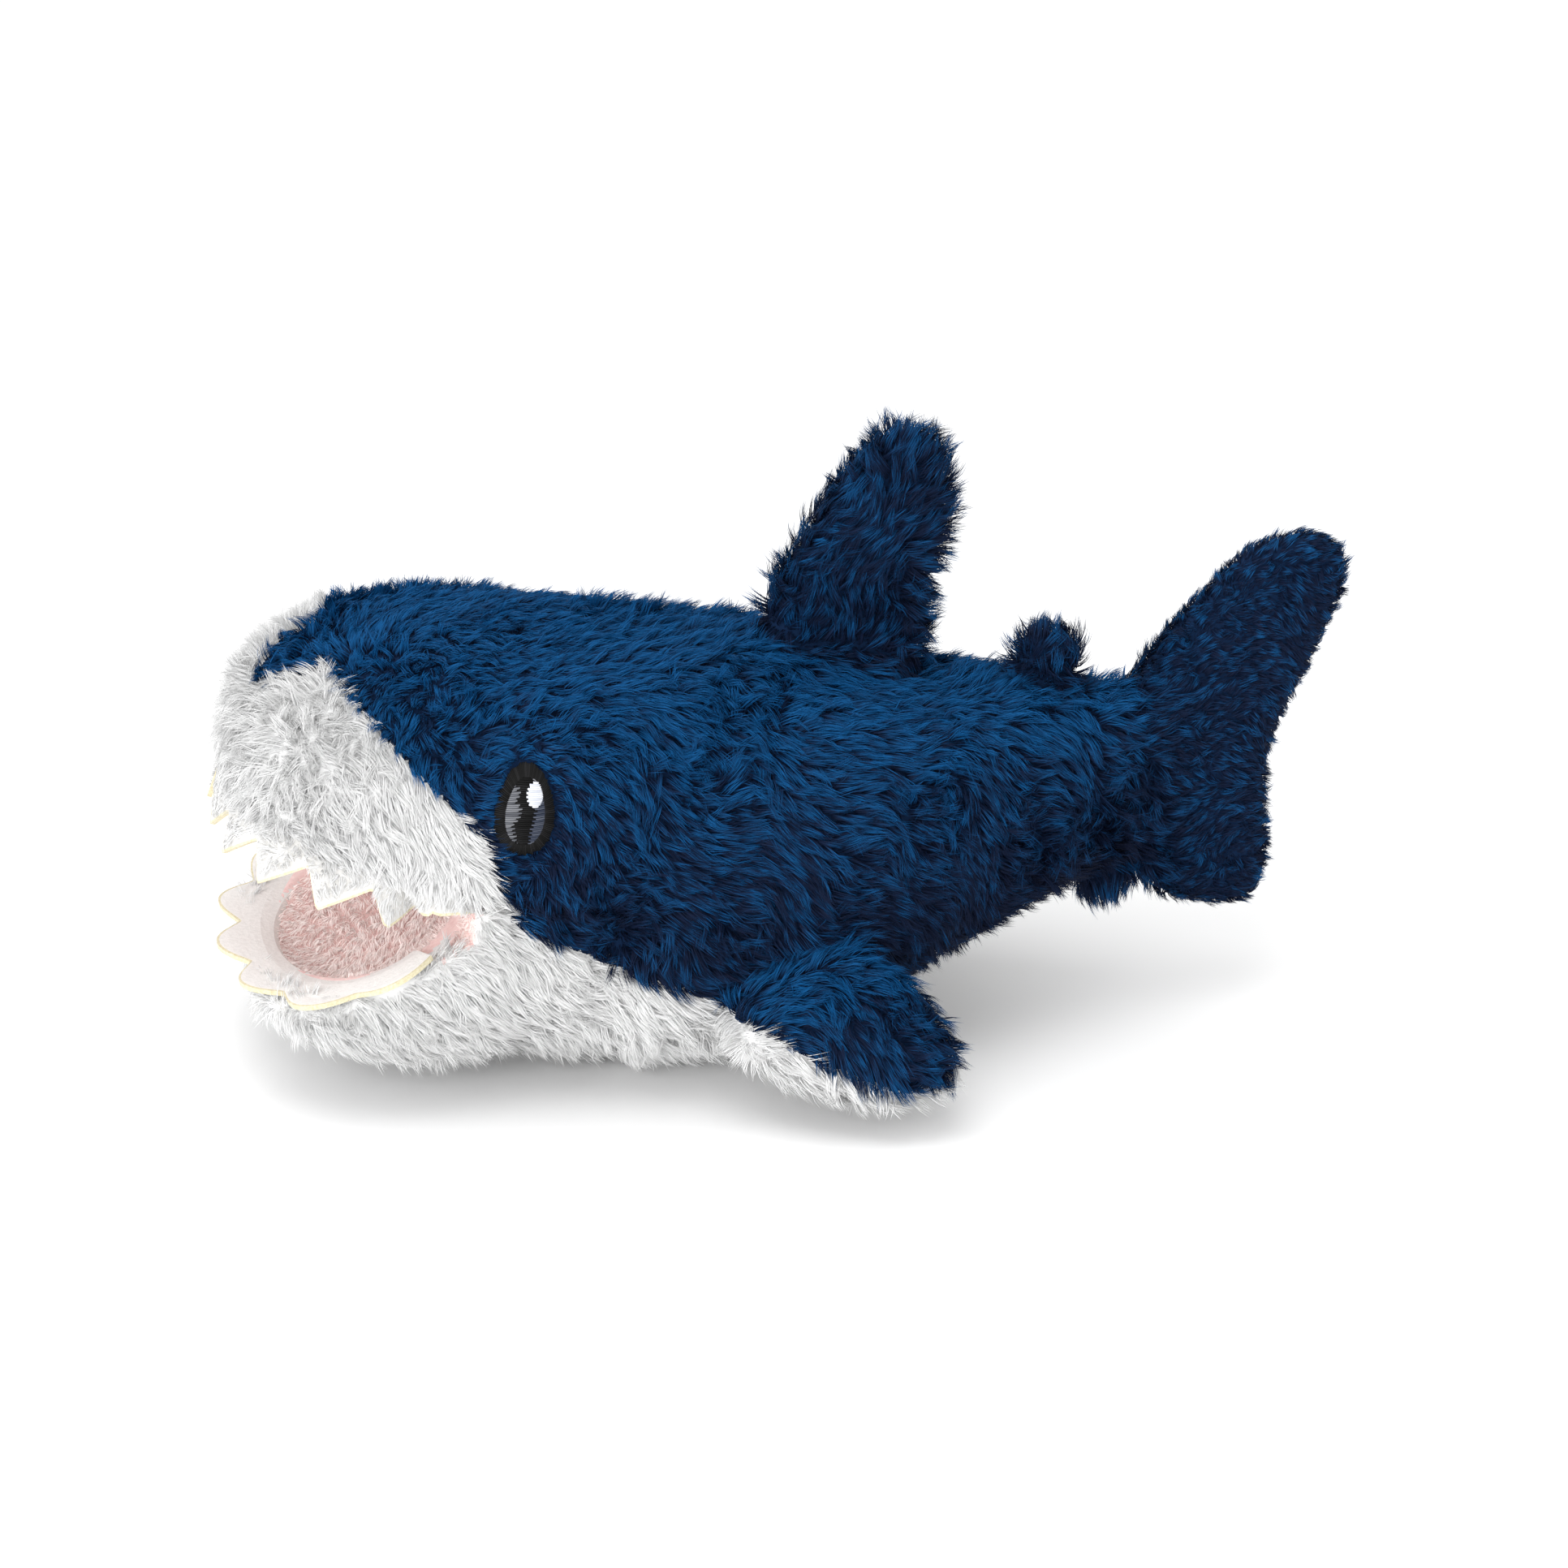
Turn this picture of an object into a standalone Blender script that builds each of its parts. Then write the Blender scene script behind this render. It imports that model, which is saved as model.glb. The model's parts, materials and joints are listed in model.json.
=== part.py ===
"""Plush shark: sewn fabric panels over polyester fillings, with a hinged jaw, fins and tail.

Sizes are in millimetres and are scaled to metres where meshes are made.
The head points along -Y, up is +Z, and the shark's left side is +X.
"""

import math

import bmesh
import bpy
from mathutils import Matrix, Vector

MM = 0.001

# Fabric
CLOTH = 1.8  # thickness of one plush panel
GAP = 0.3  # space kept between neighbouring pieces
FILLING_GAP = 0.9  # space between a panel and the filling under it
TOOTH_CLOTH = 1.4
TOOTH_PITCH = 18.0
TOOTH_DEPTH = 8.5

# Trunk: the head overhangs the mouth as far back as the throat wall
NOSE_Y = -137.5
TAIL_END_Y = 86.0
THROAT_Y = -44.0
ROOF_AT_NOSE = 71.0
ROOF_AT_THROAT = 55.5
TRUNK_POWER = 2.3
TRUNK_POINTS = 28
# (y, half width, top, bottom of the full section)
HEAD_STATIONS = [
    (NOSE_Y, 15.0, 94.0, 62.0),
    (-134.5, 27.0, 101.0, 60.0),
    (-128.0, 37.0, 107.5, 57.0),
    (-118.0, 45.5, 113.5, 54.0),
    (-105.0, 51.0, 117.0, 47.0),
    (-88.0, 54.0, 118.5, 32.0),
    (-70.0, 55.0, 118.0, 14.0),
    (-58.0, 54.7, 116.0, 2.0),
    (THROAT_Y, 53.8, 113.0, -3.0),
]
BODY_STATIONS = [
    (THROAT_Y, 53.8, 113.0, -3.0),
    (-25.0, 51.8, 109.5, -2.5),
    (-8.0, 49.0, 105.8, -1.0),
    (12.0, 44.0, 100.0, 8.0),
    (33.0, 35.0, 93.5, 20.0),
    (47.0, 29.0, 90.0, 27.0),
    (62.0, 23.0, 87.0, 33.5),
    (75.0, 17.5, 85.3, 39.5),
    (TAIL_END_Y, 12.5, 85.0, 42.0),
]

# Where the blue and white panels meet, as (y, z) seen from the side
COLOUR_SEAM = [
    (-119.0, 130.0),
    (-118.0, 113.0),
    (-105.0, 101.0),
    (-90.0, 87.0),
    (-82.0, 80.0),
    (-79.0, 70.0),
]
BELLY_SEAM = [(-27.0, 29.0), (0.0, 18.5), (25.0, 22.0), (45.0, 28.0)]
BELLY_SEAM_START_Z = 43.0
SNOUT_STRIP_HALF_WIDTH = 10.0
SNOUT_STRIP_BOTTOM = 100.0

# Lower jaw, modelled shut about its hinge and then swung open
JAW_HINGE = Vector((0.0, -80.0, 42.0))
JAW_OPEN = math.radians(29)
JAW_ROOT_RADIUS = 35.0
JAW_TOP = 7.7
JAW_FRONT = -47.0
JAW_HALF_WIDTH = 47.5
JAW_POINTS = 24
# (distance ahead of the hinge, bottom)
JAW_KEEL = [(47.0, 2.5), (45.0, -2.5), (40.0, -10.5), (32.0, -20.5), (22.0, -28.0), (12.0, -32.5)]
JAW_KEEL_REAR = [0.0, 10.0, 18.0, 25.0, 30.0]
JAW_LID_HEIGHT = 15.0  # the rear top slopes down from here, to pass under the roof
JAW_LID_SLOPE = 0.78
BOWL_CENTRE = Vector((0.0, -18.0, 7.7))
BOWL_RADII = Vector((35.0, 22.0, 9.0))

# Eyes
EYE_Y = -74.0
EYE_Z = 88.0
EYE_WIDTH = 15.5
EYE_HEIGHT = 22.0
EYE_LEAN = math.radians(7)

# Fins: each ring is (height over the hinge, front edge, rear edge, half thickness)
FIN_POINTS = 16
FIN_POWER = 2.4
DORSAL_HINGE_Y = (-4.0, 34.0)
DORSAL_RADIUS = 8.0
DORSAL_RINGS = [
    (0.0, 0.0, 40.0, 8.0),
    (9.0, 1.5, 37.0, 8.0),
    (18.0, 3.5, 34.5, 8.0),
    (31.0, 7.0, 36.5, 7.8),
    (42.0, 12.5, 33.0, 6.8),
    (48.0, 16.0, 28.0, 5.2),
    (51.0, 18.5, 25.0, 3.2),
]
SECOND_DORSAL_HINGE_Y = (57.0, 73.5)
SECOND_DORSAL_RADIUS = 4.5
SECOND_DORSAL_RINGS = [
    (0.0, 0.0, 16.5, 4.5),
    (5.0, 1.5, 16.0, 4.5),
    (8.0, 4.5, 13.5, 2.8),
]
ANAL_HINGE_Y = (73.0, 82.5)
ANAL_RADIUS = 3.6
ANAL_RINGS = [
    (0.0, 0.0, 9.5, 3.6),
    (3.0, 0.8, 9.2, 3.4),
    (5.0, 2.2, 7.8, 2.5),
]
PECTORAL_HINGE = (Vector((57.5, -20.0, 21.5)), Vector((50.5, 18.0, 31.0)))
PECTORAL_OUT = Vector((0.73, 0.30, -0.61))
PECTORAL_RADIUS = 9.0
PECTORAL_RINGS = [
    (0.0, 0.0, 40.0, 9.0),
    (7.0, 5.5, 44.5, 9.6),
    (14.0, 12.5, 47.0, 9.0),
    (20.0, 20.0, 47.5, 7.6),
    (24.0, 26.5, 45.5, 5.6),
    (26.0, 31.0, 42.0, 3.4),
]
FIN_CLEARANCE = 1.0

# Tail: each ring is (z, front edge, rear edge, half thickness)
TAIL_HINGE_Y = 96.0
TAIL_FRONT_Y = 87.2
TAIL_POINTS = 16
TAIL_RINGS = [
    (28.0, 102.0, 113.0, 3.4),
    (31.0, 98.0, 116.5, 5.6),
    (38.0, 90.5, 118.0, 7.6),
    (46.0, TAIL_FRONT_Y, 118.5, 8.2),
    (68.0, TAIL_FRONT_Y, 118.0, 8.2),
    (82.0, TAIL_FRONT_Y + 0.8, 123.5, 8.2),
    (92.0, 94.5, 129.0, 8.0),
    (104.0, 103.5, 134.0, 7.2),
    (114.0, 112.5, 137.5, 6.0),
    (119.0, 118.0, 134.5, 4.4),
    (121.0, 121.0, 130.0, 3.0),
]

# name: (colour, roughness)
FINISHES = {
    "navy_plush": ((0.010, 0.045, 0.130, 1.0), 0.9),
    "white_plush": ((0.80, 0.80, 0.79, 1.0), 0.9),
    "pink_lining": ((0.80, 0.56, 0.55, 1.0), 0.9),
    "tooth_fabric": ((0.82, 0.80, 0.74, 1.0), 0.85),
    "polyester_filling": ((0.86, 0.86, 0.84, 1.0), 0.95),
    "black_thread": ((0.010, 0.010, 0.012, 1.0), 0.5),
    "grey_thread": ((0.16, 0.17, 0.19, 1.0), 0.5),
    "white_thread": ((0.85, 0.86, 0.88, 1.0), 0.5),
}


# ---------------------------------------------------------------- scene helpers


def clear_scene():
    for thing in list(bpy.data.objects):
        bpy.data.objects.remove(thing, do_unlink=True)


def new_collection(name):
    collection = bpy.data.collections.new(name)
    bpy.context.scene.collection.children.link(collection)
    return collection


def make_material(node_name, finish):
    colour, roughness = FINISHES[finish]
    material = bpy.data.materials.new(node_name + "_" + finish)
    material.use_nodes = True
    shader = material.node_tree.nodes["Principled BSDF"]
    shader.inputs["Base Color"].default_value = colour
    shader.inputs["Roughness"].default_value = roughness
    shader.inputs["Metallic"].default_value = 0.0
    material.diffuse_color = colour
    return material


def add_object(name, data, parent=None):
    thing = bpy.data.objects.new(name, data)
    thing.parent = parent
    return thing


def as_part(thing, finish):
    """Gives an object its material and files it with the shark's parts."""
    thing.data.materials.append(make_material(thing.name, finish))
    parts.objects.link(thing)
    return thing


def as_cutter(thing):
    thing.hide_render = True
    thing.display_type = "WIRE"
    cutters.objects.link(thing)
    return thing


def add_hinge(name, matrix):
    """An empty on a joint's axis, in metres, for the pieces that turn with it."""
    hinge = add_object(name, None)
    hinge.empty_display_size = 10 * MM
    hinge.matrix_world = matrix
    parts.objects.link(hinge)
    return hinge


def add_boolean(thing, operation, cutter):
    modifier = thing.modifiers.new(operation.lower(), "BOOLEAN")
    modifier.operation = operation
    modifier.object = cutter
    modifier.solver = "EXACT"


# ---------------------------------------------------------------- mesh helpers


def rounded(value, power):
    return math.copysign(abs(value) ** (2 / power), value)


def make_ring(centre, across, up, count, power):
    """One superellipse around a centre, spanned by two half-axis vectors."""
    turns = [math.tau * step / count for step in range(count)]
    return [
        centre + across * rounded(math.cos(turn), power) + up * rounded(math.sin(turn), power)
        for turn in turns
    ]


def mesh_from(bm, name):
    bmesh.ops.recalc_face_normals(bm, faces=bm.faces)
    mesh = bpy.data.meshes.new(name)
    bm.to_mesh(mesh)
    bm.free()
    return mesh


def loft(name, rings):
    """A closed mesh through rings that all have the same number of points."""
    bm = bmesh.new()
    loops = [[bm.verts.new(point * MM) for point in ring] for ring in rings]
    for near, far in zip(loops, loops[1:]):
        for index in range(len(near)):
            after = (index + 1) % len(near)
            bm.faces.new((near[index], near[after], far[after], far[index]))
    bm.faces.new(loops[0])
    bm.faces.new(loops[-1])
    return mesh_from(bm, name)


def prism(name, outline, x_from, x_to):
    """A (y, z) outline extruded along X."""
    bm = bmesh.new()
    face = bm.faces.new([bm.verts.new(Vector((x_from, y, z)) * MM) for y, z in outline])
    grown = bmesh.ops.extrude_face_region(bm, geom=[face])["geom"]
    moved = [item for item in grown if isinstance(item, bmesh.types.BMVert)]
    bmesh.ops.translate(bm, verts=moved, vec=(x_to * MM - x_from * MM, 0, 0))
    return mesh_from(bm, name)


def box(name, low, high):
    outline = [(low[1], low[2]), (high[1], low[2]), (high[1], high[2]), (low[1], high[2])]
    return prism(name, outline, low[0], high[0])


def flat_shape(name, outlines, thickness):
    """A flat piece with closed outlines in its own XY plane; inner ones are holes."""
    curve = bpy.data.curves.new(name, "CURVE")
    curve.dimensions = "2D"
    curve.fill_mode = "BOTH"
    curve.extrude = thickness / 2 * MM
    for outline in outlines:
        spline = curve.splines.new("POLY")
        spline.points.add(len(outline) - 1)
        for point, (x, y) in zip(spline.points, outline):
            point.co = (x * MM, y * MM, 0, 1)
        spline.use_cyclic_u = True
    return curve


def ellipse(centre_x, centre_y, radius_x, radius_y, count, narrowing=0.0):
    """Points of an ellipse, or of an egg that narrows towards its top."""
    outline = []
    for step in range(count):
        turn = math.tau * step / count
        width = radius_x * (1 - narrowing * math.sin(turn))
        outline.append((centre_x + width * math.cos(turn), centre_y + radius_y * math.sin(turn)))
    return outline


def between(table, at):
    """Row of a table, sorted by its first column, interpolated at a value."""
    for low, high in zip(table, table[1:]):
        if at <= high[0] and high[0] > low[0]:
            share = (at - low[0]) / (high[0] - low[0])
            return [a + (b - a) * share for a, b in zip(low, high)]
    return list(table[-1])


def walk(path, start, step, count):
    """Points at even distances along a flat path."""
    found = []
    wanted = [start + step * number for number in range(count)]
    travelled = 0.0
    for here, there in zip(path, path[1:]):
        length = math.dist(here, there)
        while wanted and wanted[0] <= travelled + length + 1e-6:
            share = (wanted.pop(0) - travelled) / length
            found.append([a + (b - a) * share for a, b in zip(here, there)])
        travelled += length
    return found


def path_length(path):
    return sum(math.dist(here, there) for here, there in zip(path, path[1:]))


# ---------------------------------------------------------------- trunk


def roof_height(y):
    """Underside of the head over the mouth."""
    slope = (ROOF_AT_THROAT - ROOF_AT_NOSE) / (THROAT_Y - NOSE_Y)
    return ROOF_AT_NOSE + slope * (y - NOSE_Y)


def trunk_ring(station, inset, y, low):
    _, half_width, top, bottom = station
    centre = Vector((0, y, (top + bottom) / 2))
    across = Vector((half_width - inset, 0, 0))
    up = Vector((0, 0, (top - bottom) / 2 - inset))
    ring = make_ring(centre, across, up, TRUNK_POINTS, TRUNK_POWER)
    return [Vector((point.x, point.y, max(point.z, low))) for point in ring]


def trunk_rings(inset):
    """Rings from nose to tail, each surface moved inwards by the inset."""
    rings = []
    nose_length = HEAD_STATIONS[4][0] - NOSE_Y
    for station in HEAD_STATIONS[:-1]:
        share = max(0.0, 1 - (station[0] - NOSE_Y) / nose_length)
        y = station[0] + inset * share
        rings.append(trunk_ring(station, inset, y, roof_height(y) + inset))
    throat = HEAD_STATIONS[-1]
    wall = THROAT_Y + inset
    rings.append(trunk_ring(throat, inset, wall - 0.1, roof_height(wall) + inset))
    rings.append(trunk_ring(BODY_STATIONS[0], inset, wall + 0.1, inset))
    for station in BODY_STATIONS[1:-1]:
        rings.append(trunk_ring(station, inset, station[0], inset))
    rings.append(trunk_ring(BODY_STATIONS[-1], inset, TAIL_END_Y - inset, inset))
    return rings


def half_width_at(station, z):
    """How far out the surface is at a height on one section."""
    _, half_width, top, bottom = station
    share = abs(z - (top + bottom) / 2) / ((top - bottom) / 2)
    return half_width * (1 - min(share, 1.0) ** TRUNK_POWER) ** (1 / TRUNK_POWER)


def trunk_surface_x(y, z):
    return half_width_at(between(HEAD_STATIONS + BODY_STATIONS, y), z)


def trunk_panel(name, finish, region, inner):
    panel = add_object(name, loft(name, trunk_rings(0.0)))
    add_boolean(panel, "INTERSECT", region)
    add_boolean(panel, "DIFFERENCE", inner)
    return as_part(panel, finish)


def blue_outline():
    """Side view of the blue back, from the snout over the seam to the tail."""
    back = THROAT_Y + CLOTH + GAP
    floor = CLOTH + GAP
    corner_y = -76.0
    return (
        COLOUR_SEAM
        + [(corner_y, roof_height(corner_y) + floor), (back, roof_height(back) + floor)]
        + [(back, BELLY_SEAM_START_Z)]
        + BELLY_SEAM
        + [(BELLY_SEAM[-1][0], 5.0), (100.0, 5.0), (100.0, 130.0)]
    )


def muzzle_outline():
    """Side view of the white snout: ahead of the seam and over the mouth's roof."""
    seam = [(y - GAP, z - GAP) for y, z in COLOUR_SEAM]
    corner_y = -76.0 - GAP
    floor = CLOTH + GAP
    front = NOSE_Y - 8
    rim = [(corner_y, roof_height(corner_y) + floor), (front, roof_height(front) + floor)]
    return seam + rim + [(front, 130.0)]


def belly_outline():
    back = THROAT_Y + CLOTH + GAP
    end = BELLY_SEAM[-1][0] - GAP
    top = [(back, BELLY_SEAM_START_Z)] + BELLY_SEAM[:-1] + [(end, BELLY_SEAM[-1][1])]
    lowered = [(y, z - 1.5 * GAP) for y, z in top]
    return lowered + [(end, -5.0), (back, -5.0)]


def snout_strip(name, margin):
    """The blue tongue that runs forward over the snout."""
    half = SNOUT_STRIP_HALF_WIDTH + margin
    low = (-half, NOSE_Y - 8, SNOUT_STRIP_BOTTOM - margin)
    return box(name, low, (half, -116.0, 129.0))


def make_trunk():
    inner = as_cutter(add_object("trunk_inner", loft("trunk_inner", trunk_rings(CLOTH))))
    strip = as_cutter(add_object("snout_strip", snout_strip("snout_strip", 0.0)))
    wide_strip = as_cutter(add_object("snout_strip_wide", snout_strip("snout_strip_wide", GAP)))
    blue = as_cutter(add_object("blue_region", prism("blue_region", blue_outline(), -90, 90)))
    add_boolean(blue, "UNION", strip)

    for side, sign in (("left", 1), ("right", -1)):
        ends = sorted((sign * GAP / 2, sign * 80))
        half = as_cutter(
            add_object("half_" + side, box("half_" + side, (ends[0], -150, -10), (ends[1], 150, 170)))
        )
        panel = add_object("back_panel_" + side, loft("back_panel_" + side, trunk_rings(0.0)))
        add_boolean(panel, "INTERSECT", half)
        add_boolean(panel, "INTERSECT", blue)
        add_boolean(panel, "DIFFERENCE", inner)
        as_part(panel, "navy_plush")

    muzzle = as_cutter(add_object("muzzle_region", prism("muzzle_region", muzzle_outline(), -90, 90)))
    add_boolean(muzzle, "DIFFERENCE", wide_strip)
    trunk_panel("muzzle_panel", "white_plush", muzzle, inner)

    belly = as_cutter(add_object("belly_region", prism("belly_region", belly_outline(), -90, 90)))
    trunk_panel("belly_panel", "white_plush", belly, inner)

    front, back = NOSE_Y - 8, THROAT_Y + CLOTH
    roof = [
        (front, roof_height(front) + CLOTH),
        (front, ROOF_AT_THROAT - 1),
        (back, ROOF_AT_THROAT - 1),
        (back, roof_height(back) + CLOTH),
    ]
    palate = as_cutter(add_object("palate_region", prism("palate_region", roof, -90, 90)))
    trunk_panel("palate_lining", "pink_lining", palate, inner)

    wall = box("throat_region", (-90, THROAT_Y - 5, -5), (90, back, ROOF_AT_THROAT - 1.5))
    throat = as_cutter(add_object("throat_region", wall))
    trunk_panel("throat_lining", "pink_lining", throat, inner)

    filling = add_object("trunk_filling", loft("trunk_filling", trunk_rings(CLOTH + FILLING_GAP)))
    as_part(filling, "polyester_filling")


# ---------------------------------------------------------------- teeth


def tooth_points(path):
    """Alternating (point, is_tip) along a path, starting and ending between teeth."""
    teeth = int(path_length(path) / TOOTH_PITCH)
    start = (path_length(path) - teeth * TOOTH_PITCH) / 2
    points = walk(path, start, TOOTH_PITCH / 2, 2 * teeth + 1)
    return [(point, index % 2 == 1) for index, point in enumerate(points)]


def mirrored_path(side):
    """A path from the left mouth corner round the front to the right one."""
    return side + [(-x, y) for x, y in reversed(side)]


def head_rim_path():
    stations = [station for station in reversed(HEAD_STATIONS) if station[0] <= -70]
    side = [(half_width_at(station, roof_height(station[0])) - 1.0, station[0]) for station in stations]
    side[-1] = (side[-1][0], NOSE_Y + TOOTH_CLOTH / 2)
    return mirrored_path(side)


def make_upper_teeth():
    """A zigzag band that hangs from the rim of the muzzle."""
    bm = bmesh.new()
    columns = []
    for (x, y), is_tip in tooth_points(head_rim_path()):
        top = roof_height(y) - GAP
        depth = TOOTH_DEPTH if is_tip else 2.0
        columns.append([bm.verts.new(Vector((x, y, z)) * MM) for z in (top, top - depth)])
    for near, far in zip(columns, columns[1:]):
        bm.faces.new((near[0], near[1], far[1], far[0]))
    strip = add_object("upper_tooth_strip", mesh_from(bm, "upper_tooth_strip"))
    solidify = strip.modifiers.new("cloth", "SOLIDIFY")
    solidify.thickness = TOOTH_CLOTH * MM
    solidify.offset = 0.0
    as_part(strip, "tooth_fabric")


# ---------------------------------------------------------------- lower jaw


def jaw_width(y):
    """Half width of the shut jaw, rounded off at its front."""
    if y >= 0:
        return JAW_HALF_WIDTH
    return JAW_HALF_WIDTH * (1 - (y / (JAW_FRONT - 2.0)) ** 4) ** 0.25


def jaw_ring(station, y, bottom, top, inset, rim):
    centre = Vector((0, y, rim))
    across = Vector((jaw_width(station) - inset, 0, 0))
    up = Vector((0, 0, rim - bottom - inset))
    ring = make_ring(centre, across, up, JAW_POINTS, TRUNK_POWER)
    return [Vector((point.x, y, min(point.z, top))) for point in ring]


def jaw_rings(inset, top):
    """Rings of the shut jaw from its front to the round end at its hinge."""
    rings = []
    for ahead, bottom in JAW_KEEL:
        y = -ahead + inset * (ahead / -JAW_FRONT)
        rings.append(jaw_ring(-ahead, y, bottom, top, inset, JAW_TOP))
    for y in JAW_KEEL_REAR:
        y = min(y, JAW_KEEL_REAR[-1] - inset)
        drop = math.sqrt((JAW_ROOT_RADIUS - inset) ** 2 - y**2)
        lid = min(top, JAW_LID_HEIGHT - JAW_LID_SLOPE * y + top - JAW_TOP)
        rings.append(jaw_ring(y, y, -drop - inset, lid, inset, min(JAW_TOP, 0.2 * drop)))
    return rings


def jaw_rim_path():
    ys = [6.0, -4.0, -14.0, -24.0, -32.0, -38.0, -42.5, -45.5, JAW_FRONT]
    return mirrored_path([(jaw_width(y), y) for y in ys])


def jaw_tooth_outline():
    """The jaw's flat rim with teeth that spread outwards."""
    outline = []
    for (x, y), is_tip in tooth_points(jaw_rim_path()):
        out = Vector((x / JAW_HALF_WIDTH, min(y, 0.0) / -JAW_FRONT)).normalized()
        reach = TOOTH_DEPTH - 1.5 if is_tip else 0.5
        outline.append((x + out.x * reach, y + out.y * reach))
    return outline


def make_jaw():
    hinge = add_hinge(
        "lower_jaw_hinge", Matrix.Translation(JAW_HINGE * MM) @ Matrix.Rotation(JAW_OPEN, 4, "X")
    )
    inner = loft("jaw_inner", jaw_rings(CLOTH, JAW_TOP + 8))
    inner = as_cutter(add_object("jaw_inner", inner, hinge))
    chin = add_object("chin_panel", loft("chin_panel", jaw_rings(0.0, JAW_TOP)), hinge)
    add_boolean(chin, "DIFFERENCE", inner)
    as_part(chin, "white_plush")

    filling_mesh = loft("lower_jaw_filling", jaw_rings(CLOTH + 2 * FILLING_GAP, JAW_TOP - GAP))
    filling = add_object("lower_jaw_filling", filling_mesh, hinge)
    add_boolean(filling, "DIFFERENCE", make_bowl_cutter(hinge))
    as_part(filling, "polyester_filling")

    rim_hole = ellipse(BOWL_CENTRE.x, BOWL_CENTRE.y, BOWL_RADII.x + 1, BOWL_RADII.y + 1, 28)
    strip = flat_shape("lower_tooth_strip", [jaw_tooth_outline(), rim_hole], TOOTH_CLOTH)
    strip = add_object("lower_tooth_strip", strip, hinge)
    strip.location.z = (JAW_TOP + GAP + TOOTH_CLOTH / 2) * MM
    as_part(strip, "tooth_fabric")
    make_bowl(hinge)


def make_bowl_cutter(hinge):
    bm = bmesh.new()
    bmesh.ops.create_uvsphere(bm, u_segments=24, v_segments=12, radius=1.0)
    radii = (BOWL_RADII + Vector((1, 1, 1)) * FILLING_GAP) * MM
    bmesh.ops.scale(bm, vec=radii, verts=bm.verts)
    cutter = add_object("bowl_cutter", mesh_from(bm, "bowl_cutter"), hinge)
    cutter.location = BOWL_CENTRE * MM
    return as_cutter(cutter)


def make_bowl(hinge):
    """The pink dish of the mouth floor: the lower half of an ellipsoid."""
    bm = bmesh.new()
    bmesh.ops.create_uvsphere(bm, u_segments=24, v_segments=12, radius=1.0)
    upper = [vert for vert in bm.verts if vert.co.z > 0.01]
    bmesh.ops.delete(bm, geom=upper, context="VERTS")
    bmesh.ops.scale(bm, vec=BOWL_RADII * MM, verts=bm.verts)
    bowl = add_object("mouth_floor_lining", mesh_from(bm, "mouth_floor_lining"), hinge)
    bowl.location = (BOWL_CENTRE - Vector((0, 0, GAP))) * MM
    solidify = bowl.modifiers.new("cloth", "SOLIDIFY")
    solidify.thickness = CLOTH * MM
    solidify.offset = -1.0
    as_part(bowl, "pink_lining")


# ---------------------------------------------------------------- eyes


def eye_matrix(sign, lift):
    """Frame of an eye: Z out of the cheek, Y up along the eye, lifted off the cloth."""
    x = trunk_surface_x(EYE_Y, EYE_Z)
    slope_z = trunk_surface_x(EYE_Y, EYE_Z + 4) - trunk_surface_x(EYE_Y, EYE_Z - 4)
    slope_y = trunk_surface_x(EYE_Y + 4, EYE_Z) - trunk_surface_x(EYE_Y - 4, EYE_Z)
    out = Vector((sign, -slope_y / 8, -slope_z / 8)).normalized()
    lean = Vector((0, math.sin(EYE_LEAN), math.cos(EYE_LEAN)))
    up = (lean - out * lean.dot(out)).normalized()
    place = Vector((sign * x, EYE_Y, EYE_Z)) + out * lift
    turn = Matrix((up.cross(out), up, out)).transposed().to_4x4()
    return Matrix.Translation(place * MM) @ turn


def make_eye(side, sign):
    """Four layers of satin stitch; local X runs towards the tail on the left side."""
    half_width, half_height = EYE_WIDTH / 2, EYE_HEIGHT / 2
    # name, finish, centre, radii, thickness
    layers = [
        ("border", "black_thread", (0, 0), (half_width, half_height), 0.8),
        ("iris", "grey_thread", (0, -0.4), (half_width - 2.6, half_height - 3.0), 0.5),
        ("pupil", "black_thread", (0.3 * sign, -0.2), (half_width - 4.2, half_height - 4.8), 0.4),
        ("highlight", "white_thread", (0.9 * sign, 4.0), (1.9, 2.8), 0.4),
    ]
    lift = GAP
    for layer, finish, centre, radii, thickness in layers:
        name = "eye_" + layer + "_" + side
        outline = ellipse(centre[0], centre[1], radii[0], radii[1], 20, narrowing=0.06)
        piece = add_object(name, flat_shape(name, [outline], thickness))
        piece.matrix_world = eye_matrix(sign, lift + thickness / 2)
        as_part(piece, finish)
        lift += thickness + GAP


# ---------------------------------------------------------------- fins and tail


def fin_rings(table, radius, inset):
    """Rings over a hinge along local Y, with a round root about the hinge."""
    first_front, first_rear = table[0][1], table[0][2]
    rings = []
    for turn in (math.radians(-72), math.radians(-38)):
        height = (radius - inset) * math.sin(turn)
        half = (radius - inset) * math.cos(turn)
        trim = 0.5 * radius * (1 - math.cos(turn))
        rings.append((height, first_front + trim, first_rear - trim, half + inset))
    rings += table[:-1]
    top_height, front, rear, half = table[-1]
    rings.append((top_height - inset, front, rear, half))
    return [fin_ring(ring, inset) for ring in rings]


def fin_ring(ring, inset):
    height, front, rear, half_thickness = ring
    centre = Vector((0, (front + rear) / 2, height))
    across = Vector((half_thickness - inset, 0, 0))
    along = Vector((0, (rear - front) / 2 - inset, 0))
    return make_ring(centre, across, along, FIN_POINTS, FIN_POWER)


def hinge_frame(start, end, out):
    """Matrix with Y along the hinge and Z out along the fin, in metres."""
    along = (end - start).normalized()
    height = (out - along * out.dot(along)).normalized()
    turn = Matrix((along.cross(height), along, height)).transposed().to_4x4()
    return Matrix.Translation(start * MM) @ turn


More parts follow.
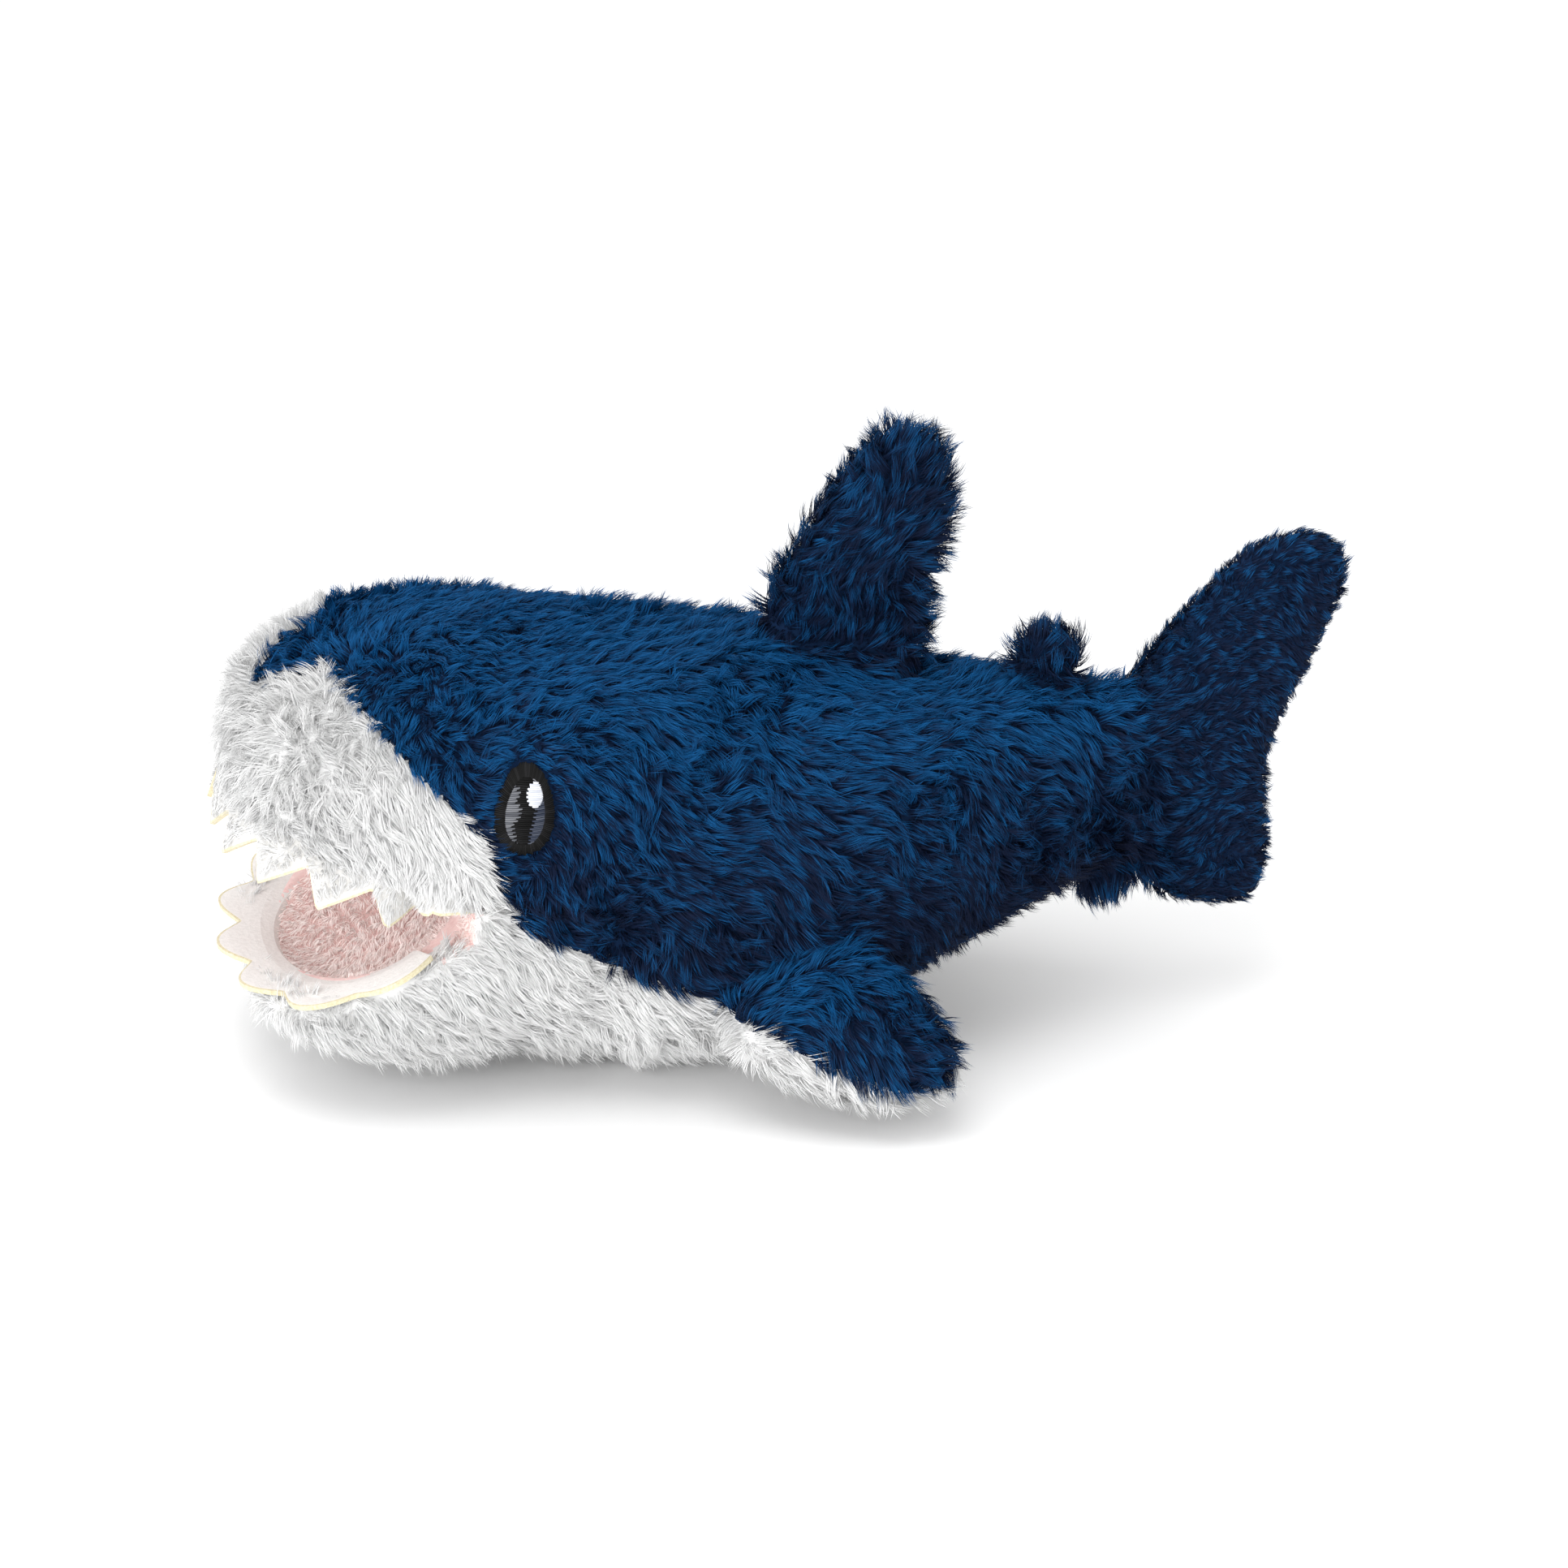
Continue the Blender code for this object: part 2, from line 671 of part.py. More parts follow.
def ridge_hinge(ends, radius, sign):
    """Hinge line along the trunk's top (sign 1) or bottom (sign -1), clear of its surface."""
    column = 2 if sign > 0 else 3
    heights = [between(BODY_STATIONS, y)[column] for y in ends]
    slope = math.atan2(heights[1] - heights[0], ends[1] - ends[0])
    lift = sign * (radius + FIN_CLEARANCE) / math.cos(slope)
    return [Vector((0, y, z + lift)) for y, z in zip(ends, heights)]


def make_fin(name, hinge_line, out, rings_at, halves):
    """Two panels and a filling; halves are (suffix, finish, side of local X)."""
    hinge = add_hinge(name + "_hinge", hinge_frame(hinge_line[0], hinge_line[1], out))
    inner = as_cutter(add_object(name + "_inner", loft(name + "_inner", rings_at(CLOTH)), hinge))
    for suffix, finish, sign in halves:
        ends = sorted((sign * GAP / 2, sign * 40))
        low, high = (ends[0], -80, -80), (ends[1], 160, 160)
        half_name = name + "_half_" + suffix
        half = as_cutter(add_object(half_name, box(half_name, low, high), hinge))
        panel_name = name + "_panel_" + suffix
        panel = add_object(panel_name, loft(panel_name, rings_at(0.0)), hinge)
        add_boolean(panel, "INTERSECT", half)
        add_boolean(panel, "DIFFERENCE", inner)
        as_part(panel, finish)
    filling = add_object(name + "_filling", loft(name + "_filling", rings_at(CLOTH + FILLING_GAP)), hinge)
    as_part(filling, "polyester_filling")


def make_fins():
    blue_sides = [("left", "navy_plush", 1), ("right", "navy_plush", -1)]
    line = ridge_hinge(DORSAL_HINGE_Y, DORSAL_RADIUS, 1)
    make_fin(
        "dorsal_fin",
        line,
        Vector((0, 0, 1)),
        lambda inset: fin_rings(DORSAL_RINGS, DORSAL_RADIUS, inset),
        blue_sides,
    )
    line = ridge_hinge(SECOND_DORSAL_HINGE_Y, SECOND_DORSAL_RADIUS, 1)
    make_fin(
        "second_dorsal_fin",
        line,
        Vector((0, 0, 1)),
        lambda inset: fin_rings(SECOND_DORSAL_RINGS, SECOND_DORSAL_RADIUS, inset),
        blue_sides,
    )
    line = ridge_hinge(ANAL_HINGE_Y, ANAL_RADIUS, -1)
    make_fin(
        "anal_fin",
        line,
        Vector((0, 0, -1)),
        lambda inset: fin_rings(ANAL_RINGS, ANAL_RADIUS, inset),
        [("left", "navy_plush", -1), ("right", "navy_plush", 1)],
    )
    for side, sign in (("left", 1), ("right", -1)):
        flip = Vector((sign, 1, 1))
        start, end = (point * flip for point in PECTORAL_HINGE)
        make_fin(
            "pectoral_fin_" + side,
            (start, end),
            PECTORAL_OUT * flip,
            lambda inset: fin_rings(PECTORAL_RINGS, PECTORAL_RADIUS, inset),
            [("top", "navy_plush", -sign), ("under", "white_plush", sign)],
        )


def tail_rings(inset):
    """Level rings from the lower lobe to the upper one, about the tail's hinge."""
    rings = []
    for number, (z, front, rear, half_thickness) in enumerate(TAIL_RINGS):
        if number == 0:
            z += inset
        if number == len(TAIL_RINGS) - 1:
            z -= inset
        centre = Vector((0, (front + rear) / 2 - TAIL_HINGE_Y, z))
        across = Vector((half_thickness - inset, 0, 0))
        along = Vector((0, (rear - front) / 2 - 1.2 * inset, 0))
        rings.append(make_ring(centre, across, along, TAIL_POINTS, FIN_POWER))
    return rings


def make_tail():
    start = Vector((0, TAIL_HINGE_Y, 0))
    make_fin(
        "tail",
        (start, start + Vector((0, 1, 0))),
        Vector((0, 0, 1)),
        tail_rings,
        [("left", "navy_plush", 1), ("right", "navy_plush", -1)],
    )


clear_scene()
parts = new_collection("plush_shark")
cutters = new_collection("cutters")
make_trunk()
make_upper_teeth()
make_jaw()
for eye_side, eye_sign in (("left", 1), ("right", -1)):
    make_eye(eye_side, eye_sign)
make_fins()
make_tail()
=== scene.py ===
"""Plush shark: skin, long pile, mouth lining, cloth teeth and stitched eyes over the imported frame.

Lengths are written in metres as a number of millimetres times MM. The head points along -Y and
the shark's left side is +X. Everything random comes from one seeded generator.
"""

import json
import math

import bmesh
import bpy
import numpy as np
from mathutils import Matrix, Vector
from mathutils.bvhtree import BVHTree
from mathutils.kdtree import KDTree


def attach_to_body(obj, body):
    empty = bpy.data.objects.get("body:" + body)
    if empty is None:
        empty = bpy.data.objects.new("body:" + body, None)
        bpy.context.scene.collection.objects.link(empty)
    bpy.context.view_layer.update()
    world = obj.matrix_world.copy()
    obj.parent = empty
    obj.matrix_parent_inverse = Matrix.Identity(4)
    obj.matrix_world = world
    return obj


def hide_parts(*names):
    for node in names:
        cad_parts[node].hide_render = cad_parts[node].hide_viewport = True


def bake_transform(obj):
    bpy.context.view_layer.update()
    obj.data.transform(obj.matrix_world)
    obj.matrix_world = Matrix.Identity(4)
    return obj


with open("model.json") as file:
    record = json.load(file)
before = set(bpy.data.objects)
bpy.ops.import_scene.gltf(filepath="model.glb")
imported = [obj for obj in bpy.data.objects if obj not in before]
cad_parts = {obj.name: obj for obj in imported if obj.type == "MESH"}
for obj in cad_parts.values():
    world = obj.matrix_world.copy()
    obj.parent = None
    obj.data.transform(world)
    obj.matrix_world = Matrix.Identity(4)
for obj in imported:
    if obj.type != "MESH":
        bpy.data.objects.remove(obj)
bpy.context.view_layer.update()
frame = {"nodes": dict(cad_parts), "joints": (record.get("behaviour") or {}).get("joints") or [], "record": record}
random = np.random.default_rng(7)

MM = 0.001
JOINTS = {joint["name"]: joint for joint in frame["joints"]}

# Skin
VOXEL = 1.5 * MM
SMOOTHING_ROUNDS = 14
FLOOR_CLEARANCE = 0.3 * MM
TRUNK_GROWTH = 1.5 * MM
FIN_GROWTH = 2.2 * MM
# how far back and up each copy of the tail is laid, in mm
TAIL_SHIFTS = ((-3.5, 0), (0, 0), (3, 1.5), (3, -1.5))
BELLY_DRAW = 0.30
HEAD_TRIM = 2.4 * MM
BACK_RISE = 1.6 * MM

# Mouth: the jaw hangs open at rest by this angle about its hinge
JAW_HINGE = Vector(JOINTS["jaw_opening"]["pos_m"])
JAW_OPEN = math.radians(29)
JAW_TOP = 7.7 * MM
MOUTH_BACK_Y = -84 * MM
JAW_STRETCH = 1.12
# from the first, over the second, the jaw's front curls up by the third
JAW_CURL = (12 * MM, 40 * MM, 7 * MM)
BOWL_CENTRE_Y = -21 * MM
BOWL_RADII = (36 * MM, 25 * MM)
BOWL_DEPTH = 8 * MM
ROOF_Y = np.array([-137.5, -44]) * MM
ROOF_Z = np.array([71, 55.5]) * MM

# Pile
STRANDS_PER_MM2 = 3.9
PILE_LENGTH = 6.8 * MM
PILE_LEAN = 0.68
TUFT_SPACING = 2.0 * MM
TUFT_GATHER = 0.5
PALE_GATHER = 0.36
PALE_CALM = 0.5
PINK_SHORT = 0.32
STRAND_WIDTH = 0.27 * MM
MOST_STRANDS_IN_PIECE = 39000
FEWEST_STRANDS = 30
# colours of the pile at its root, halfway and at its tip
# the blue pile's dark root is painted shade deep in the pile, and its bright tip a painted highlight
BLUE_SHADES = ((0.003, 0.006, 0.022), (0.003, 0.011, 0.038), (0.002, 0.075, 0.225))
# the white pile is lighter at its root than at its tip: painted light that fills the shade between the strands
WHITE_SHADES = ((0.82, 0.82, 0.82), (0.72, 0.72, 0.72), (0.64, 0.64, 0.64))
PINK_SHADES = ((0.96, 0.79, 0.76), (0.99, 0.88, 0.85), (0.99, 0.93, 0.91))

# Where blue meets white, seen from the side, as (y, z)
SEAM_Y = np.array([-140, -127, -118, -105, -90, -82, -79, -74, -52, -27, 0, 25, 45]) * MM
SEAM_Z = np.array([113, 112, 114, 104, 89, 80, 68.5, 55, 43.5, 32, 20.5, 22, 28]) * MM
# half width at its root, lowest height and length of the blue tongue on the nose
SNOUT_STRIP = (17 * MM, 101.5 * MM, 12 * MM)

# Under this line, seen from the side, the skin follows the jaw
LIP_Y = np.array([-140, -110, -90, -84, -60, -50]) * MM
LIP_Z = np.array([66, 60, 56, 53, 50, 48]) * MM
JAW_REGION_BACK = -50 * MM

# Teeth: the upper ones hang from the muzzle's rim, the lower ones point out from the gum
RIM_HALF_WIDTH = 47 * MM
RIM_LENGTH = 54 * MM
RIM_POWER = 2.3
RIM_COLUMNS = 240
RIM_TOP = 70.5 * MM
TOOTH_PITCH = 15.5 * MM
TOOTH_DEPTH = 10 * MM
TOOTH_ROW_REACH = 74 * MM
TOOTH_CLOTH = 1.2 * MM
CUT_EDGE = 0.7 * MM
TOOTH_PILE = 3.0 * MM
TOOTH_LEAN = 0.8
GUM_RADII = (47 * MM, 31 * MM)
GUM_POWER = 2.5
GUM_REACH = math.radians(106)
GUM_TEETH = 7
LOWER_TOOTH = 5.5 * MM

# Eyes
EYE_Y, EYE_Z = -71.2 * MM, 86 * MM
EYE_RADII = (7.2 * MM, 10.2 * MM)
EYE_LEAN = math.radians(7)
# height of the eye's edge over the skin, and how much more its middle stands up
EYE_LIFT = (1.3 * MM, 1.2 * MM)
EYE_BORDER = 2.0 * MM
THREAD_PITCH = 0.46 * MM
THREAD_HEIGHT = 0.3 * MM

# fin body: joint, direction out of the trunk, and the heights where it starts and ends
FINS = {
    "dorsal_fin": ("dorsal_fin_lean", (0, 0, 1), -4 * MM, 6 * MM),
    "second_dorsal_fin": ("second_dorsal_fin_lean", (0, 0, 1), -2.5 * MM, 3 * MM),
    "anal_fin": ("anal_fin_lean", (0, 0, -1), -2 * MM, 2.5 * MM),
    "pectoral_fin_left": ("pectoral_fin_left_lift", (0.73, 0.30, -0.61), 3 * MM, 14 * MM),
    "pectoral_fin_right": ("pectoral_fin_right_lift", (-0.73, 0.30, -0.61), 3 * MM, 14 * MM),
}
TAIL_BEND = (86 * MM, 102 * MM)
BODY_NAMES = ["trunk", "lower_jaw", "tail"] + list(FINS)
BLUE, WHITE, PINK = 0, 1, 2
# how far in from the front of a pectoral fin's root the white under it shows
WHITE_EDGE = 11.5 * MM
PILE_NAMES = (("blue", "navy_plush"), ("white", "white_plush"), ("pink", "pink_lining"))


# ---------------------------------------------------------------- materials


def principled(name, colour, roughness):
    """A material with the dull surface of cloth, and its shader."""
    material = bpy.data.materials.new(name)
    material.use_nodes = True
    shader = material.node_tree.nodes["Principled BSDF"]
    shader.inputs["Base Color"].default_value = (*colour, 1)
    shader.inputs["Roughness"].default_value = roughness
    shader.inputs["Specular IOR Level"].default_value = 0.12
    return material, shader


def add_noise_bump(material, shader, scale, strength, distance):
    """A fine woven or brushed grain."""
    nodes, links = material.node_tree.nodes, material.node_tree.links
    place = nodes.new("ShaderNodeTexCoord")
    noise = nodes.new("ShaderNodeTexNoise")
    bump = nodes.new("ShaderNodeBump")
    noise.inputs["Scale"].default_value = scale
    noise.inputs["Detail"].default_value = 6
    bump.inputs["Strength"].default_value = strength
    bump.inputs["Distance"].default_value = distance
    links.new(place.outputs["Object"], noise.inputs["Vector"])
    links.new(noise.outputs["Fac"], bump.inputs["Height"])
    links.new(bump.outputs["Normal"], shader.inputs["Normal"])
    return noise


def skin_material(name, colour):
    """The knitted backing under the pile."""
    material, shader = principled(name, colour, 0.95)
    add_noise_bump(material, shader, 900, 0.4, 0.5 * MM)
    return material


def cloth_material(name, dark, light, scale):
    """Short brushed cloth: two close shades in a fine noise, with a nap."""
    material, shader = principled(name, light, 0.95)
    noise = add_noise_bump(material, shader, scale, 0.5, 0.4 * MM)
    nodes, links = material.node_tree.nodes, material.node_tree.links
    ramp = nodes.new("ShaderNodeValToRGB")
    ramp.color_ramp.elements[0].position = 0.3
    ramp.color_ramp.elements[0].color = (*dark, 1)
    ramp.color_ramp.elements[1].position = 0.7
    ramp.color_ramp.elements[1].color = (*light, 1)
    links.new(noise.outputs["Fac"], ramp.inputs["Fac"])
    links.new(ramp.outputs["Color"], shader.inputs["Base Color"])
    shader.inputs["Sheen Weight"].default_value = 0.2
    return material


def pile_material(name, shades, roughness):
    """Pile: one colour at the root, one halfway and one at the tip, and each tuft in its own tone."""
    root, middle, tip = shades
    material, shader = principled(name, middle, roughness)
    nodes, links = material.node_tree.nodes, material.node_tree.links
    along = nodes.new("ShaderNodeAttribute")
    along.attribute_name = "shade"
    ramp = nodes.new("ShaderNodeValToRGB")
    ramp.color_ramp.elements[0].color = (*root, 1)
    ramp.color_ramp.elements[1].color = (*tip, 1)
    between = ramp.color_ramp.elements.new(0.5)
    between.color = (*middle, 1)
    links.new(along.outputs["Fac"], ramp.inputs["Fac"])
    links.new(ramp.outputs["Color"], shader.inputs["Base Color"])
    return material


def make_materials():
    """Backing of each colour, pile of each colour, and the teeth's cloths and cut edge."""
    skins = [
        skin_material("blue_backing", (0.004, 0.016, 0.050)),
        skin_material("white_backing", (0.82, 0.82, 0.82)),
        cloth_material("pink_backing", (0.84, 0.58, 0.56), (0.93, 0.72, 0.69), 700),
    ]
    piles = [
        pile_material("blue_pile", BLUE_SHADES, 0.7),
        pile_material("white_pile", WHITE_SHADES, 0.8),
        pile_material("pink_pile", PINK_SHADES, 0.8),
    ]
    cloth = cloth_material("tooth_cloth", (0.60, 0.59, 0.57), (0.66, 0.65, 0.63), 900)
    gum = cloth_material("gum_cloth", (0.78, 0.77, 0.75), (0.85, 0.84, 0.82), 900)
    edge = cloth_material("cut_edge", (0.58, 0.51, 0.32), (0.75, 0.70, 0.52), 1400)
    return skins, piles, cloth, gum, edge


# ---------------------------------------------------------------- helpers


def add_object(name, data):
    """A new object in the scene."""
    added = bpy.data.objects.new(name, data)
    bpy.context.scene.collection.objects.link(added)
    return added


def evaluated_mesh(source):
    """The mesh that an object's modifiers make; the object itself is removed."""
    depsgraph = bpy.context.evaluated_depsgraph_get()
    mesh = bpy.data.meshes.new_from_object(source.evaluated_get(depsgraph))
    bpy.data.objects.remove(source)
    return mesh


def set_shade(mesh, values):
    """Stores the shade that the pile and thread materials read, one for each vertex."""
    attribute = mesh.attributes.new("shade", "FLOAT", "POINT")
    attribute.data.foreach_set("value", values.astype(np.float32).ravel())


def set_map(mesh, spots):
    """Stores the map that a bake of colour uses, one spot for each face corner."""
    layer = mesh.uv_layers.new(name="OFBake")
    layer.data.foreach_set("uv", spots.astype(np.float32).ravel())


def grid_faces(count, columns):
    """Quads over a grid of points that is count rows high."""
    grid = np.arange(count * columns).reshape(count, columns)
    return np.stack([grid[:-1, :-1], grid[:-1, 1:], grid[1:, 1:], grid[1:, :-1]], -1).reshape(-1, 4)


def travelled_along(points):
    """Distance along a line of points, from its start."""
    return np.concatenate([[0], np.cumsum(np.linalg.norm(np.diff(points, axis=0), axis=1))])


def unit(vectors):
    return vectors / np.maximum(np.linalg.norm(vectors, axis=-1, keepdims=True), 1e-12)


def swirl(points, size, seed):
    """A smooth vector field between about -1 and 1, from a few crossed waves."""
    waves = np.random.default_rng(seed)
    total = np.zeros_like(points)
    for _ in range(6):
        direction = unit(waves.normal(size=3))
        phase = waves.uniform(0, math.tau)
        push = waves.normal(size=3)
        wave = np.sin(points @ direction * math.tau / (size * waves.uniform(0.7, 1.5)) + phase)
        total += wave[:, None] * push
    return total / 2.4


def mesh_arrays(mesh):
    """Vertices, vertex normals and triangles of a mesh."""
    mesh.calc_loop_triangles()
    points = np.empty(len(mesh.vertices) * 3)
    normals = np.empty(len(mesh.vertices) * 3)
    triangles = np.empty(len(mesh.loop_triangles) * 3, int)
    mesh.vertices.foreach_get("co", points)
    mesh.vertices.foreach_get("normal", normals)
    mesh.loop_triangles.foreach_get("vertices", triangles)
    return points.reshape(-1, 3), normals.reshape(-1, 3), triangles.reshape(-1, 3)


def hinge_frame(joint_name, out):
    """Start of a hinge, its direction, and the direction square to it out of the trunk."""
    joint = JOINTS[joint_name]
    start = np.array(joint["pos_m"])
    along = unit(np.array(joint["axis"]))
    if along[1] < 0:
        along = -along
    out = np.array(out) - along * np.dot(out, along)
    return start, along, unit(out)


def fin_frame(body):
    """The hinge frame of a fin."""
    return hinge_frame(*FINS[body][:2])


def fin_height(points, body):
    """How far points lie out along a fin, from its hinge."""
    start, _, out = fin_frame(body)
    return (points - start) @ out


def jaw_curl(y):
    """How far the front of the jaw curls up."""
    start, length, rise = JAW_CURL
    return rise * np.clip((-y - start) / length, 0, 1.2) ** 2


def shut(y, z):
    """(y, z) from the jaw's hinge, turned back from the open jaw to the shut one."""
    cosine, sine = math.cos(JAW_OPEN), math.sin(JAW_OPEN)
    y, z = y - JAW_HINGE.y, z - JAW_HINGE.z
    return y * cosine + z * sine, z * cosine - y * sine


def jaw_local(points):
    """(y, z) of points in the flattened frame of the jaw when shut: y ahead is negative, z up."""
    local_y, local_z = shut(points[:, 1], points[:, 2])
    return local_y, local_z - jaw_curl(local_y)


def bowl_spread(x, local_y):
    """0 in the middle of the mouth's round bowl, and 1 on its edge, as a square."""
    return (x / BOWL_RADII[0]) ** 2 + ((local_y - BOWL_CENTRE_Y) / BOWL_RADII[1]) ** 2


def rim_height(share):
    """Height of the muzzle's rim: share is 0 at the nose and 1 at the mouth's corner."""
    return RIM_TOP - 10 * MM * share - 8 * MM * share**2


def jaw_world(x, y, z):
    """World point of a point given in the flattened frame of the shut jaw."""
    cosine, sine = math.cos(JAW_OPEN), math.sin(JAW_OPEN)
    z = z + float(jaw_curl(y))
    return Vector((x, JAW_HINGE.y + y * cosine - z * sine, JAW_HINGE.z + y * sine + z * cosine))


# ---------------------------------------------------------------- skin


def pour(bm, target):
    """Moves a bmesh's contents into another one."""
    mesh = bpy.data.meshes.new("poured")
    bm.to_mesh(mesh)
    bm.free()
    target.from_mesh(mesh)
    bpy.data.meshes.remove(mesh)


def add_grown_copy(target, node, growth, shift=(0, 0, 0)):
    """Adds a CAD node's shape to a bmesh, pushed out along its normals."""
    bm = bmesh.new()
    bm.from_mesh(frame["nodes"][node].data)
    bmesh.ops.remove_doubles(bm, verts=bm.verts, dist=0.00002)
    bmesh.ops.recalc_face_normals(bm, faces=bm.faces)
    for vert in bm.verts:
        vert.co += vert.normal * growth * min(vert.calc_shell_factor(), 1.6) + Vector(shift)
    pour(bm, target)


def add_hull(target, points, reshape=None):
    """Adds the convex hull of some points to a bmesh, its corners moved by reshape where given."""
    bm = bmesh.new()
    for point in points:
        bm.verts.new(point)
    bmesh.ops.convex_hull(bm, input=bm.verts)
    loose = [vert for vert in bm.verts if not vert.link_faces]
    bmesh.ops.delete(bm, geom=loose, context="VERTS")
    if reshape:
        for vert in bm.verts:
            vert.co = reshape(vert.co)
    pour(bm, target)


def add_block(target, low, high, bevel):
    """Adds a block with rounded edges to a bmesh, its corners and its bevel in mm."""
    made = bmesh.ops.create_cube(target, size=1.0)["verts"]
    size = [(b - a) * MM for a, b in zip(low, high)]
    middle = [(a + b) / 2 * MM for a, b in zip(low, high)]
    bmesh.ops.scale(target, vec=size, verts=made)
    bmesh.ops.translate(target, vec=middle, verts=made)
    edges = list({edge for vert in made for edge in vert.link_edges})
    bmesh.ops.bevel(target, geom=edges, offset=bevel * MM, segments=4, affect="EDGES", profile=0.5)


def longer_jaw(point):
    """Stretches a point of the jaw ahead of its hinge and curls it up."""
    local_y, local_z = shut(point.y, point.z)
    return jaw_world(point.x, local_y * (JAW_STRETCH if local_y < 0 else 1), local_z)


def add_throat(target):
    """Fills the belly under the throat, from the trunk ahead to the jaw."""
    points = []
    # y, half width, lowest point
    for y, half, bottom in ((-30, 52, 1), (-44, 51.5, 1.5), (-62, 50, 4), (-84, 46, 9)):
        for angle in np.radians(np.arange(-90, 91, 12)):
            across, down = power_curve(angle, (half, 57 - bottom), 2.2)
            points.append((across * MM, y * MM, (57 - down) * MM))
    add_hull(target, points)


def narrow_belly(points):
    """Draws the lowest part of the chin and belly inwards, as a stuffed belly rounds under."""
    _, y, z = points.T
    low = np.clip((26 * MM - z) / (26 * MM), 0, 1)
    ahead = np.clip((18 * MM - y) / (30 * MM), 0, 1)
    body = abs(points[:, 0]) < 54 * MM
    points[:, 0] *= 1 - BELLY_DRAW * low**1.5 * ahead * body
    return points


def trim_back(points):
    """Lowers the top of the head, where the pile stands high, and raises the back at its rear."""
    _, y, z = points.T
    high = np.clip((z - 92 * MM) / (18 * MM), 0, 1)
    ahead = np.clip((-5 * MM - y) / (15 * MM), 0, 1)
    behind = np.clip((y - 34 * MM) / (12 * MM), 0, 1) * np.clip((108 * MM - y) / (15 * MM), 0, 1)
    upper = np.clip((z - 55 * MM) / (20 * MM), 0, 1)
    points[:, 2] += BACK_RISE * upper * behind - HEAD_TRIM * high * ahead
    return points


def make_skin_mesh():
    """One closed, smooth skin through the trunk, jaw, tail and fins at rest."""
    bm = bmesh.new()
    add_grown_copy(bm, "trunk_filling", TRUNK_GROWTH)
    add_hull(bm, [vert.co for vert in frame["nodes"]["chin_panel"].data.vertices], longer_jaw)
    add_throat(bm)
    for body in FINS:
        root = 9 if body == "dorsal_fin" else 6
        add_grown_copy(bm, body + "_filling", FIN_GROWTH)
        add_grown_copy(bm, body + "_filling", FIN_GROWTH, tuple(-fin_frame(body)[2] * root * MM))
    for back, up in TAIL_SHIFTS:
        add_grown_copy(bm, "tail_filling", FIN_GROWTH, (0, back * MM, up * MM))
    add_grown_copy(bm, "anal_fin_filling", 2.0 * MM, (0, 5 * MM, 1.5 * MM))
    add_block(bm, (-9, 76, 44), (9, 100, 83), 7)
    mesh = bpy.data.meshes.new("skin_form")
    bm.to_mesh(mesh)
    bm.free()
    form = add_object("skin_form", mesh)
    remesh = form.modifiers.new("remesh", "REMESH")
    remesh.mode = "VOXEL"
    remesh.voxel_size = VOXEL
    smooth = form.modifiers.new("smooth", "SMOOTH")
    smooth.factor = 0.5
    smooth.iterations = SMOOTHING_ROUNDS
    skin = evaluated_mesh(form)
    points = trim_back(narrow_belly(sink_bowl(mesh_arrays(skin)[0])))
    points[:, 2] = np.maximum(points[:, 2], FLOOR_CLEARANCE)
    skin.vertices.foreach_set("co", points.ravel())
    skin.update()
    return skin


def sink_bowl(points):
    """Presses the round dish of the mouth's floor into the top of the jaw."""
    y, z = jaw_local(points)
    spread = bowl_spread(points[:, 0], y)
    on_top = (abs(z - JAW_TOP) < 4 * MM) & (spread < 1) & (points[:, 1] < MOUTH_BACK_Y + 6 * MM)
    depth = BOWL_DEPTH * np.sqrt(np.clip(1 - spread, 0, 1)) * on_top
    points[:, 1] += depth * math.sin(JAW_OPEN)
    points[:, 2] -= depth * math.cos(JAW_OPEN)
    return points


def roof_height(y):
    """Height of the mouth's roof, which falls from the nose to the throat."""
    return np.interp(y, ROOF_Y, ROOF_Z)


def back_and_belly(points):
    """Blue above the seam along the side, on the nose's tongue and at the rear, and white below."""
    x, y, z = points.T
    blue = z > np.interp(y, SEAM_Y, SEAM_Z)
    half, lowest, long = SNOUT_STRIP
    blue |= abs(x) < half * np.sqrt(np.clip((z - lowest) / long, 0, 1))
    blue |= y > SEAM_Y[-1]
    return np.where(blue, BLUE, WHITE)


def colour_pectoral_fins(points, colour):
    """Each pectoral fin is blue on top and white under it, with the white showing along its front."""
    x, y, _ = points.T
    for body in ("pectoral_fin_left", "pectoral_fin_right"):
        start, along, out = fin_frame(body)
        upward = np.cross(along, out)
        upward *= math.copysign(1, upward[2])
        from_hinge = points - start
        on_fin = (from_hinge @ out > -8 * MM) & (abs(x) > 44 * MM) & (abs(y) < 40 * MM) & (x * out[0] > 0)
        across = from_hinge @ along
        white_edge = np.maximum(WHITE_EDGE + 0.84 * from_hinge @ out - across, 0)
        above = from_hinge @ upward > white_edge - 1 * MM
        colour = np.where(on_fin, np.where(above, BLUE, WHITE), colour)
    return colour


